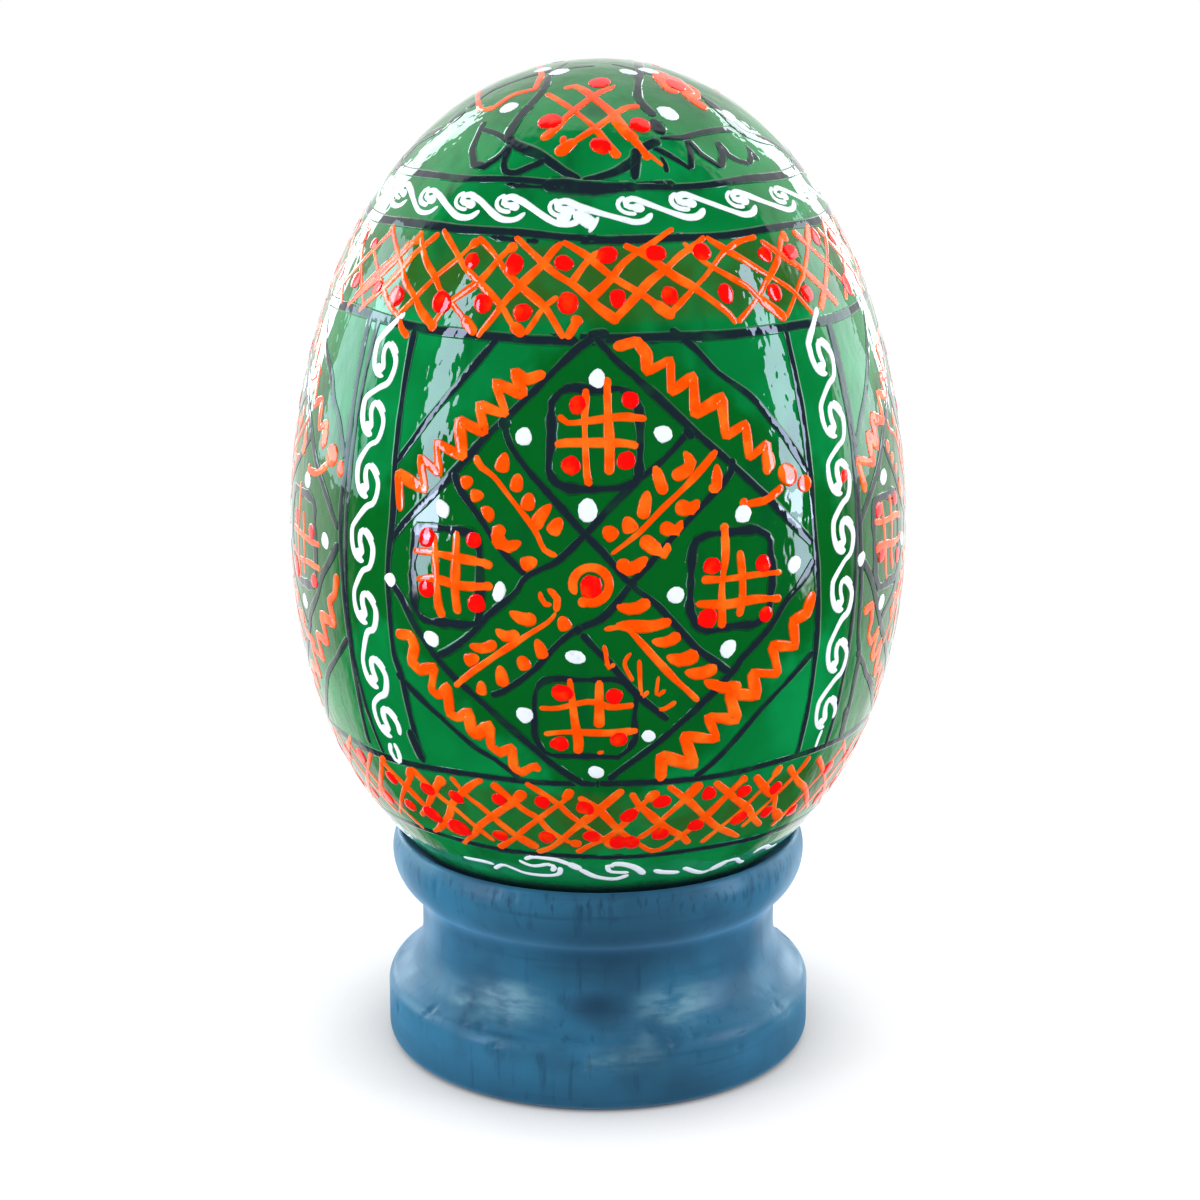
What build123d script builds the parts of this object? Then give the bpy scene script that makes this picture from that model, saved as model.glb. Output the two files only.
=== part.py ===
from build123d import *
import math
import os

# A painted wooden egg that stands loose in a turned wooden ring.
# Millimetres, +Z up, origin at the centre of the ring's underside, painted front of the egg towards -Y.

# Egg, turned from one piece
egg_height = 64.0
egg_diameter = 46.0
# How its outline runs, as shares: the widest place of the height, then the two handles of each curve,
# upright ones at the belly and level ones at the crown and the base
belly_height_share = 0.459
upper_belly_share = 0.5
crown_share = 0.637
lower_belly_share = 0.697
base_share = 0.482

# Seat, where the egg rests in the ring: how far along the outline from the belly to the base
seat_share = 0.588
seat_gap = 0.1
seat_margin = 1.85
seat_ledge = 4.2

# Stand, a turned ring, from the floor up
foot_band = 4.1
foot_edge_radius = 0.93
shoulder_rise = 4.8
neck_length = 1.4
bead_rise = 4.8
rim_rise = 1.65
# and outward from its mouth
lip_width = 0.25
lip_radius = 0.1
rim_setback = 0.45
bead_overhang = 2.2
foot_overhang = 2.7
bore_chamfer = 0.5
# The convex share of each ogee's two arcs
shoulder_share = 0.25
bead_share = 0.62

egg_radius = egg_diameter / 2
belly_rise = belly_height_share * egg_height
belly_drop = egg_height - belly_rise


def flank_radius(share):
    """Egg radius at a share of the way from the belly to the base."""
    left = 1 - share
    return egg_radius * (left**3 + 3 * left**2 * share + 3 * left * share**2 * base_share)


def flank_height(share):
    """Height over the egg's base at the same share."""
    left = 1 - share
    return belly_rise * (left**3 + 3 * left**2 * share * (1 - lower_belly_share))


def flank_slope(share):
    """Rise of the outline for each millimetre outward at the same share."""
    left = 1 - share
    run = egg_radius * (2 * left * share * (base_share - 1) - share**2 * base_share)
    rise = belly_rise * (-(left**2) * lower_belly_share - 2 * left * share * (1 - lower_belly_share))
    return rise / run


def ogee(start, end, convex_share, convex_first):
    """Two tangent arcs between two upright ends: gives the point where they meet."""
    inward = start[0] - end[0]
    rise = end[1] - start[1]
    turn = 2 * math.atan2(abs(inward), rise)
    first_share = convex_share if convex_first else 1 - convex_share
    first_radius = first_share * rise / math.sin(turn)
    step = math.copysign(first_radius * (1 - math.cos(turn)), inward)
    return start[0] - step, start[1] + first_radius * math.sin(turn)


# Stand heights
band_top = foot_band
neck_low = band_top + shoulder_rise
neck_high = neck_low + neck_length
bead_level = neck_high + bead_rise
rim_level = bead_level + rim_rise

# Seat cone: it meets the egg's outline along one circle and has the outline's slope there.
contact_radius = flank_radius(seat_share)
seat_slope = flank_slope(seat_share)
mouth_radius = contact_radius + seat_margin
bore_radius = contact_radius - seat_ledge
contact_level = rim_level - seat_margin * seat_slope
seat_low = contact_level - seat_ledge * seat_slope

# Stand radii
rim_radius = mouth_radius + lip_width
bead_radius = rim_radius + rim_setback
neck_radius = bead_radius - bead_overhang
foot_radius = neck_radius + foot_overhang

# Egg placing
egg_base = contact_level + seat_gap - flank_height(seat_share)
belly_level = egg_base + belly_rise
egg_crown = egg_base + egg_height

with BuildPart() as egg:
    with BuildSketch(Plane.XZ):
        with BuildLine():
            Bezier(
                (0, egg_base),
                (egg_radius * base_share, egg_base),
                (egg_radius, belly_level - belly_rise * lower_belly_share),
                (egg_radius, belly_level),
            )
            Bezier(
                (egg_radius, belly_level),
                (egg_radius, belly_level + belly_drop * upper_belly_share),
                (egg_radius * crown_share, egg_crown),
                (0, egg_crown),
            )
            Line((0, egg_crown), (0, egg_base))
        make_face()
    revolve(axis=Axis.Z)
egg.part.label = "egg"

# Stand: foot with a plain band, shoulder and cove, neck, bead and rim, then the seat cone and the bore
with BuildPart() as stand:
    with BuildSketch(Plane.XZ):
        with BuildLine():
            Line((bore_radius + bore_chamfer, 0), (foot_radius - foot_edge_radius, 0))
            TangentArc(
                (foot_radius - foot_edge_radius, 0),
                (foot_radius, foot_edge_radius),
                tangent=(1, 0),
            )
            Line((foot_radius, foot_edge_radius), (foot_radius, band_top))
            shoulder_end = ogee((foot_radius, band_top), (neck_radius, neck_low), shoulder_share, True)
            shoulder = TangentArc((foot_radius, band_top), shoulder_end, tangent=(0, 1))
            TangentArc(shoulder_end, (neck_radius, neck_low), tangent=shoulder % 1)
            Line((neck_radius, neck_low), (neck_radius, neck_high))
            cove_end = ogee((neck_radius, neck_high), (bead_radius, bead_level), bead_share, False)
            cove = TangentArc((neck_radius, neck_high), cove_end, tangent=(0, 1))
            TangentArc(cove_end, (bead_radius, bead_level), tangent=cove % 1)
            TangentArc((bead_radius, bead_level), (rim_radius, rim_level), tangent=(0, 1))
            Line((rim_radius, rim_level), (mouth_radius, rim_level))
            Line((mouth_radius, rim_level), (bore_radius, seat_low))
            Line((bore_radius, seat_low), (bore_radius, bore_chamfer))
            Line((bore_radius, bore_chamfer), (bore_radius + bore_chamfer, 0))
        make_face()
    revolve(axis=Axis.Z)
    lip_edges = stand.edges().filter_by(GeomType.CIRCLE).group_by(Axis.Z)[-1]
    fillet(lip_edges, lip_radius)
stand.part.label = "stand"

os.makedirs("parts", exist_ok=True)
export_step(egg.part, "parts/egg.step")
export_step(stand.part, "parts/stand.step")

print("egg base", round(egg_base, 3), "belly", round(belly_level, 3), "crown", round(egg_crown, 3))
print("rim level", round(rim_level, 3), "contact radius", round(contact_radius, 3), "slope", round(seat_slope, 3))
print("radii: bore", round(bore_radius, 3), "mouth", round(mouth_radius, 3), "bead", round(bead_radius, 3))
print("radii: neck", round(neck_radius, 3), "foot", round(foot_radius, 3), "seat low", round(seat_low, 3))
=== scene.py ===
import math
import random

import bpy
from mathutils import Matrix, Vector


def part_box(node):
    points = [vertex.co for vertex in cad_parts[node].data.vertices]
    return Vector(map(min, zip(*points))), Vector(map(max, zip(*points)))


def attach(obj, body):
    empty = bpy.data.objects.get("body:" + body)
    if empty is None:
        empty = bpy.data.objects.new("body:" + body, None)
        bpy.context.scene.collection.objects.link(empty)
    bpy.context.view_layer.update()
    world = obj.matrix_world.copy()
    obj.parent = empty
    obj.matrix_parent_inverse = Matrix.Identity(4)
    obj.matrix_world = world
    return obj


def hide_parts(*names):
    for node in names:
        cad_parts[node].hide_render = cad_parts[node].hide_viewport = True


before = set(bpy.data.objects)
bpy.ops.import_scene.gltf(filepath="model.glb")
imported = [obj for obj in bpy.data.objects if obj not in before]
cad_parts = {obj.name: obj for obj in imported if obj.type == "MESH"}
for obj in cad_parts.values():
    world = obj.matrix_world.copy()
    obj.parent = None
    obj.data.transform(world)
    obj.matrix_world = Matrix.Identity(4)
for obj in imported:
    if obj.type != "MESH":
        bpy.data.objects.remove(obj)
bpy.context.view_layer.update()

bl_info = {
    "name": "Painted egg on a turned stand",
    "version": (1, 0, 0),
    "blender": (4, 5, 0),
    "location": "View3D > Sidebar > Painted Egg",
    "description": "Lays the lacquered folk pattern on a wooden egg and finishes its satin blue stand",
    "category": "Object",
}

MM = 0.001
EGG_LOW, EGG_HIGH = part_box("egg")
STAND_LOW, STAND_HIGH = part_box("stand")

# The pattern was read off in degrees round from the front and millimetres of height,
# on a drawing of the egg that runs from this base to this crown.
DRAWING_BASE = 10.845
DRAWING_CROWN = 75.631
DRAWING_HEIGHT = DRAWING_CROWN - DRAWING_BASE

# The egg's outline is a half circle swelled by a cubic of the height from -1 at the base to 1 at the crown
SWELL = (0.99696, -0.0724, 0.0743, 0.0164)

# Middle of the outer diamonds, and how far they reach, in drawing millimetres and degrees
DIAMOND_LEVEL = 43.0
DIAMOND_HALF_HEIGHT = 18.5
DIAMOND_HALF_WIDTH = 58.0

# Upright scroll columns and the panels between them, in degrees round
COLUMN_PLACES = (-44.5, 48.3, 137.0, 226.0)
PANEL_CENTRE = 1.9
PANEL_WIDTH = 92.8


def linear(hex_colour):
    """An sRGB hex colour as linear red, green, blue and alpha."""
    channels = [int(hex_colour[i : i + 2], 16) / 255 for i in (1, 3, 5)]
    return [c / 12.92 if c <= 0.04045 else ((c + 0.055) / 1.055) ** 2.4 for c in channels] + [1.0]


def add(tree, kind, inputs=None, **settings):
    """Adds a node: settings are its own properties, inputs its sockets by name or number."""
    node = tree.nodes.new(kind)
    for name, value in settings.items():
        setattr(node, name, value)
    for key, value in (inputs or {}).items():
        if isinstance(value, bpy.types.NodeSocket):
            tree.links.new(value, node.inputs[key])
        else:
            node.inputs[key].default_value = value
    return node


class EggSizes(bpy.types.PropertyGroup):
    """Sizes of the egg and its paint."""

    radius: bpy.props.FloatProperty(
        name="Radius",
        description="Widest radius of the finished egg",
        default=EGG_HIGH[0],
        unit="LENGTH",
        precision=5,
    )
    height: bpy.props.FloatProperty(
        name="Height",
        description="From the egg's base to its crown",
        default=EGG_HIGH[2] - EGG_LOW[2],
        unit="LENGTH",
        precision=5,
    )
    base_level: bpy.props.FloatProperty(
        name="Base level",
        description="How far the egg's base is over the floor",
        default=EGG_LOW[2],
        unit="LENGTH",
        precision=5,
    )
    paint_depth: bpy.props.FloatProperty(
        name="Paint depth",
        description="How far the green ground lies under the highest paint",
        default=0.11 * MM,
        unit="LENGTH",
        precision=5,
    )
    ripple: bpy.props.FloatProperty(
        name="Lacquer ripple",
        description="Depth of the slow waves in the poured lacquer",
        default=0.085 * MM,
        unit="LENGTH",
        precision=5,
    )
    ripple_length: bpy.props.FloatProperty(
        name="Ripple length",
        description="From one wave in the lacquer to the next",
        default=4.2 * MM,
        unit="LENGTH",
        precision=5,
    )
    fine_ripple: bpy.props.FloatProperty(
        name="Fine ripple",
        description="Depth of the small waves that the brush left in the lacquer",
        default=0.014 * MM,
        unit="LENGTH",
        precision=5,
    )
    fine_length: bpy.props.FloatProperty(
        name="Fine ripple length",
        description="From one small wave in the lacquer to the next",
        default=1.5 * MM,
        unit="LENGTH",
        precision=5,
    )


class StandSizes(bpy.types.PropertyGroup):
    """Sizes of the turned ring, which keep to the CAD part's own values."""

    foot_radius: bpy.props.FloatProperty(
        name="Foot radius",
        description="Radius of the plain band at the foot",
        default=STAND_HIGH[0],
        unit="LENGTH",
        precision=5,
    )
    rim_level: bpy.props.FloatProperty(
        name="Rim level",
        description="Height of the rim over the floor",
        default=STAND_HIGH[2],
        unit="LENGTH",
        precision=5,
    )
    tool_mark: bpy.props.FloatProperty(
        name="Tool mark depth",
        description="Depth of the rings that the gouge left under the paint",
        default=0.02 * MM,
        unit="LENGTH",
        precision=5,
    )
    chip: bpy.props.FloatProperty(
        name="Chip depth",
        description="Depth of the dents and the torn grain",
        default=0.13 * MM,
        unit="LENGTH",
        precision=5,
    )


def colour_property(name, description, hex_colour):
    """A colour that a user may change, with its default as an sRGB hex value."""
    return bpy.props.FloatVectorProperty(
        name=name,
        description=description,
        default=linear(hex_colour),
        size=4,
        min=0.0,
        max=1.0,
        subtype="COLOR",
    )


class PaintColours(bpy.types.PropertyGroup):
    """Colours of the paints."""

    green: colour_property("Green", "Main colour of the egg's ground", "#057534")
    green_light: colour_property("Light green", "Where the ground is thin", "#088A44")
    green_dark: colour_property("Dark green", "Where the ground is thick", "#045224")
    green_inner: colour_property("Inner green", "The second, browner coat inside the diamonds", "#045916")
    olive: colour_property("Olive", "The ground under the lattices", "#305C1B")
    # Ink is also the colour of the painted shade on the egg just over the stand's rim
    ink: colour_property("Ink", "The drawn outlines", "#1A252C")
    orange: colour_property("Orange", "Lattices, zigzags and leaves", "#FF4F02")
    orange_light: colour_property("Light orange", "Where the orange is thick", "#FF7018")
    red: colour_property("Red", "The red drops", "#FF0C08")
    white: colour_property("White", "Scrolls and white drops", "#F1F4F6")
    blue: colour_property("Blue", "The stand's paint", "#2B6884")
    # Dark blue also carries the painted shade at the front of the neck and towards the foot
    blue_dark: colour_property("Dark blue", "Where the paint lies thin in the grain", "#173C52")
    blue_sheen: colour_property("Blue sheen", "The paint's satin bloom along its edges", "#84C6F0")
    # Worn blue is also the colour of the two painted highlights on the front of the stand's shoulder
    blue_wear_and_highlight: colour_property("Worn blue", "Where hands have rubbed the shoulder", "#7CA6AC")


class Skin:
    """The egg's painted ground: where a place on it is, and which way is outwards there."""

    def __init__(self, sizes):
        self.base = sizes.base_level + sizes.paint_depth
        self.height = sizes.height - 2 * sizes.paint_depth
        self.radius = (sizes.radius - sizes.paint_depth) * SWELL[0]
        # Way along the outline from the crown down, for the pattern on the cap
        self.ways = [(0.0, 1.0)]
        steps = 900
        before = self.outline(1.0)
        for i in range(1, steps + 1):
            level = 1 - 0.6 * (i / steps) ** 2
            here = self.outline(level)
            self.ways.append((self.ways[-1][0] + math.dist(before, here), level))
            before = here

    def outline(self, level):
        """Radius and height at a level from 0 at the base to 1 at the crown."""
        c = 2 * level - 1
        q = math.sqrt(max(0.0, 1 - c * c))
        swell = 1 + c * (SWELL[1] + c * (SWELL[2] + c * SWELL[3]))
        return self.radius * q * swell, self.base + self.height * level

    def place(self, turn, level):
        """Point and outward normal at a turn from the front, in radians, and a level."""
        c = 2 * level - 1
        q = math.sqrt(max(0.0, 1 - c * c))
        swell = 1 + c * (SWELL[1] + c * (SWELL[2] + c * SWELL[3]))
        swell_slope = SWELL[1] + c * (2 * SWELL[2] + c * 3 * SWELL[3])
        out = self.height / 2 * q
        up = self.radius * (c * swell - q * q * swell_slope)
        size = math.hypot(out, up)
        out /= size
        up /= size
        radius = self.radius * q * swell
        s, k = math.sin(turn), -math.cos(turn)
        point = Vector((radius * s, radius * k, self.base + self.height * level))
        return point, Vector((out * s, out * k, up))

    def side(self, spot):
        """Turn and level of a spot in degrees round and drawing millimetres up."""
        return math.radians(spot[0]), (spot[1] - DRAWING_BASE) / DRAWING_HEIGHT

    def cap(self, spot):
        """Turn and level of a spot in millimetres right of the crown and towards the front."""
        way = math.hypot(*spot) * MM * self.height / (DRAWING_HEIGHT * MM)
        low, high = 0, len(self.ways) - 1
        while high - low > 1:
            middle = (low + high) // 2
            if self.ways[middle][0] < way:
                low = middle
            else:
                high = middle
        near, far = self.ways[low], self.ways[high]
        share = (way - near[0]) / (far[0] - near[0])
        return math.atan2(spot[0], spot[1]), near[1] + (far[1] - near[1]) * share


def bend_through(path, closed=False):
    """Closely spaced spots on a smooth line through the given ones."""
    count = len(path)
    spots = []
    for i in range(count if closed else count - 1):
        if closed:
            p0, p1, p2, p3 = (path[(i + k) % count] for k in (-1, 0, 1, 2))
        else:
            p0, p1, p2, p3 = (path[min(max(i + k, 0), count - 1)] for k in (-1, 0, 1, 2))
        steps = 10
        for k in range(steps):
            t = k / steps
            spots.append(
                tuple(
                    0.5 * (2 * b + (c - a) * t + (2 * a - 5 * b + 4 * c - d) * t * t + (3 * b - a - 3 * c + d) * t**3)
                    for a, b, c, d in zip(p0, p1, p2, p3)
                )
            )
    if not closed:
        spots.append(tuple(path[-1]))
    return spots


class Brushwork:
    """Strokes or drops of one paint, gathered as points on the egg before they get their shape."""

    def __init__(self, skin, seed):
        self.skin = skin
        self.chance = random.Random(seed)
        self.points = []
        self.normals = []
        self.halves = []
        self.stretches = []
        self.turns = []
        self.edges = []

    def keep(self, point, normal, half, stretch=1.0, turn=0.0):
        """Notes one point with its attributes."""
        self.points.append(point)
        self.normals.append(normal)
        self.halves.append(half)
        self.stretches.append(stretch)
        self.turns.append(turn)

    def stroke(self, path, width, tips=(1.0, 1.0), closed=False, chart=None, uneven=0.1, step=0.5, straight=False):
        """One stroke of paint of a width in millimetres. tips are the lengths of its two ends in half widths."""
        chart = chart or self.skin.side
        if straight:
            spots = [
                (a[0] + (b[0] - a[0]) * k / 6, a[1] + (b[1] - a[1]) * k / 6)
                for a, b in zip(path, path[1:])
                for k in range(6)
            ]
            spots.append(tuple(path[-1]))
        else:
            spots = bend_through(path, closed)
        if closed:
            spots.append(spots[0])
        places = [self.skin.place(*chart(spot)) for spot in spots]
        ways = [0.0]
        for a, b in zip(places, places[1:]):
            ways.append(ways[-1] + (a[0] - b[0]).length)
        length = ways[-1]
        half = width / 2 * MM
        step *= MM
        if closed:
            count = max(8, round(length / step))
            stations = [length * i / count for i in range(count)]
            first = last = 0.0
        else:
            first, last = tips[0] * half, tips[1] * half
            if first + last > 0.9 * length:
                shrink = 0.9 * length / (first + last)
                first *= shrink
                last *= shrink
            count = max(1, round((length - first - last) / step))
            middle = [first + (length - first - last) * i / count for i in range(count + 1)]
            start = [first * share for share in (0.0, 0.08, 0.3, 0.6)] if first else []
            end = [length - last * share for share in (0.6, 0.3, 0.08, 0.0)] if last else []
            stations = start + middle + end
        phases = [self.chance.uniform(0, 6.28) for _ in range(4)]
        start_index = len(self.points)
        span = 0
        for way in stations:
            while span < len(ways) - 2 and ways[span + 1] < way:
                span += 1
            gap = ways[span + 1] - ways[span]
            share = (way - ways[span]) / gap if gap > 0 else 0.0
            point = places[span][0].lerp(places[span + 1][0], share)
            normal = places[span][1].lerp(places[span + 1][1], share).normalized()
            size = 1.0
            if first and way < first:
                size = math.sqrt(max(0.0, 1 - (1 - way / first) ** 2))
            if last and length - way < last:
                size = min(size, math.sqrt(max(0.0, 1 - (1 - (length - way) / last) ** 2)))
            turns = 6.28 / length if closed else 1.0
            if closed:
                waves = (way * turns * 5, way * turns * 13, way * turns * 29)
            else:
                waves = (way / (2.1 * MM), way / (0.9 * MM), way / (0.45 * MM))
            lump = math.sin(waves[0] + phases[0]) + 0.6 * math.sin(waves[1] + phases[1]) + 0.4 * math.sin(waves[2] + phases[2])
            self.keep(point, normal, half * max(size, 0.12) * (1 + uneven * lump))
        total = len(self.points) - start_index
        self.edges += [(start_index + i, start_index + i + 1) for i in range(total - 1)]
        if closed:
            self.edges.append((start_index + total - 1, start_index))

    def drop(self, spot, radius, stretch=1.0, turn=0.0, chart=None):
        """One drop of paint of a radius in millimetres."""
        chart = chart or self.skin.side
        point, normal = self.skin.place(*chart(spot))
        self.keep(point, normal, radius * MM, stretch, turn)

    def points_object(self, name):
        """The points and edges as a mesh object with their attributes."""
        mesh = bpy.data.meshes.new(name)
        mesh.from_pydata(self.points, self.edges, [])
        attribute = mesh.attributes.new("skin_normal", "FLOAT_VECTOR", "POINT")
        attribute.data.foreach_set("vector", [c for normal in self.normals for c in normal])
        for key, values in (("half_width", self.halves), ("stretch", self.stretches), ("turn", self.turns)):
            attribute = mesh.attributes.new(key, "FLOAT", "POINT")
            attribute.data.foreach_set("value", values)
        obj = bpy.data.objects.new(name, mesh)
        bpy.context.scene.collection.objects.link(obj)
        return obj


def new_tree(name, sockets):
    """An empty Geometry Nodes tree with a geometry input, named inputs and a geometry output."""
    tree = bpy.data.node_groups.new(name, "GeometryNodeTree")
    tree.interface.new_socket("Geometry", in_out="INPUT", socket_type="NodeSocketGeometry")
    tree.interface.new_socket("Geometry", in_out="OUTPUT", socket_type="NodeSocketGeometry")
    for socket_name, kind in sockets:
        tree.interface.new_socket(socket_name, in_out="INPUT", socket_type=kind)
    return tree, add(tree, "NodeGroupInput").outputs


def end_tree(tree, geometry, material):
    """Ends a tree with smooth shading, real geometry and its material."""
    smooth = add(tree, "GeometryNodeSetShadeSmooth", {"Geometry": geometry})
    real = add(tree, "GeometryNodeRealizeInstances", {"Geometry": smooth.outputs[0]})
    finished = add(tree, "GeometryNodeSetMaterial", {"Geometry": real.outputs[0], "Material": material})
    add(tree, "NodeGroupOutput", {"Geometry": finished.outputs[0]})


def grow(obj, tree, values):
    """Runs a tree on an object and keeps the result as its plain mesh."""
    modifier = obj.modifiers.new(tree.name, "NODES")
    modifier.node_group = tree
    for item in tree.interface.items_tree:
        if item.in_out == "INPUT" and item.name in values:
            modifier[item.identifier] = values[item.name]
    depsgraph = bpy.context.evaluated_depsgraph_get()
    mesh = bpy.data.meshes.new_from_object(
        obj.evaluated_get(depsgraph), preserve_all_data_layers=True, depsgraph=depsgraph
    )
    before = obj.data
    obj.modifiers.clear()
    obj.data = mesh
    bpy.data.meshes.remove(before)
    mesh.name = obj.name
    if not mesh.polygons:
        raise RuntimeError(obj.name + " came out empty")
    return obj


def empty_object(name):
    """An object with an empty mesh, for a tree that makes its own geometry."""
    obj = bpy.data.objects.new(name, bpy.data.meshes.new(name))
    bpy.context.scene.collection.objects.link(obj)
    return obj


WAVE_SOCKETS = [
    ("Ripple", "NodeSocketFloat"),
    ("Ripple length", "NodeSocketFloat"),
    ("Fine ripple", "NodeSocketFloat"),
    ("Fine length", "NodeSocketFloat"),
]


def wave_values():
    """Sizes of the lacquer's waves, the same for the ground and for all the paint on it."""
    sizes = bpy.context.scene.egg_sizes
    return {
        "Ripple": sizes.ripple,
        "Ripple length": sizes.ripple_length,
        "Fine ripple": sizes.fine_ripple,
        "Fine length": sizes.fine_length,
    }


def lacquer_waves(tree, place, given):
    """How far the lacquer at a place lies under its highest waves."""
    # Waves stand a little taller than wide, as the lacquer ran down the egg
    drawn = add(tree, "ShaderNodeVectorMath", {0: place, 1: (1.0, 1.0, 0.6)}, operation="MULTIPLY").outputs[0]
    depth = 0.0
    for amount, length in (("Ripple", "Ripple length"), ("Fine ripple", "Fine length")):
        often = add(tree, "ShaderNodeMath", {0: 1.0, 1: given[length]}, operation="DIVIDE").outputs[0]
        waves = add(
            tree, "ShaderNodeTexNoise", {"Vector": drawn, "Scale": often, "Detail": 1.0, "Distortion": 0.3}
        ).outputs[0]
        sunk = add(tree, "ShaderNodeMath", {0: waves, 1: 1.0}, operation="SUBTRACT").outputs[0]
        depth = add(
            tree, "ShaderNodeMath", {0: sunk, 1: given[amount], 2: depth}, operation="MULTIPLY_ADD"
        ).outputs[0]
    return depth


def skin_tree():
    """Tree of the egg's ground: a ball drawn out to the egg's height and swelled, with waves in its lacquer."""
    tree, given = new_tree(
        "egg_skin",
        [
            ("Radius", "NodeSocketFloat"),
            ("Height", "NodeSocketFloat"),
            ("Base", "NodeSocketFloat"),
            *WAVE_SOCKETS,
            ("Segments", "NodeSocketInt"),
            ("Rings", "NodeSocketInt"),
            ("Material", "NodeSocketMaterial"),
        ],
    )
    ball = add(tree, "GeometryNodeMeshUVSphere", {"Segments": given["Segments"], "Rings": given["Rings"]})
    place = add(tree, "GeometryNodeInputPosition").outputs[0]
    parts = add(tree, "ShaderNodeSeparateXYZ", {0: place}).outputs
    swell = SWELL[3]
    for term in (SWELL[2], SWELL[1], 1.0):
        swell = add(
            tree, "ShaderNodeMath", {0: swell, 1: parts["Z"], 2: term}, operation="MULTIPLY_ADD"
        ).outputs[0]
    wide = add(tree, "ShaderNodeMath", {0: swell, 1: given["Radius"]}, operation="MULTIPLY").outputs[0]
    x = add(tree, "ShaderNodeMath", {0: parts["X"], 1: wide}, operation="MULTIPLY").outputs[0]
    y = add(tree, "ShaderNodeMath", {0: parts["Y"], 1: wide}, operation="MULTIPLY").outputs[0]
    level = add(tree, "ShaderNodeMath", {0: parts["Z"], 1: 0.5, 2: 0.5}, operation="MULTIPLY_ADD").outputs[0]
    z = add(
        tree, "ShaderNodeMath", {0: level, 1: given["Height"], 2: given["Base"]}, operation="MULTIPLY_ADD"
    ).outputs[0]
    spot = add(tree, "ShaderNodeCombineXYZ", {0: x, 1: y, 2: z}).outputs[0]
    egg = add(tree, "GeometryNodeSetPosition", {"Geometry": ball.outputs[0], "Position": spot}).outputs[0]
    deep = lacquer_waves(tree, place, given)
    outwards = add(tree, "GeometryNodeInputNormal").outputs[0]
    offset = add(tree, "ShaderNodeVectorMath", {0: outwards, "Scale": deep}, operation="SCALE").outputs[0]
    waved = add(tree, "GeometryNodeSetPosition", {"Geometry": egg, "Offset": offset}).outputs[0]
    end_tree(tree, waved, given["Material"])
    return tree


def named(tree, name, kind="FLOAT"):
    """A point attribute by its name."""
    return add(tree, "GeometryNodeInputNamedAttribute", {"Name": name}, data_type=kind).outputs[0]


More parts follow.
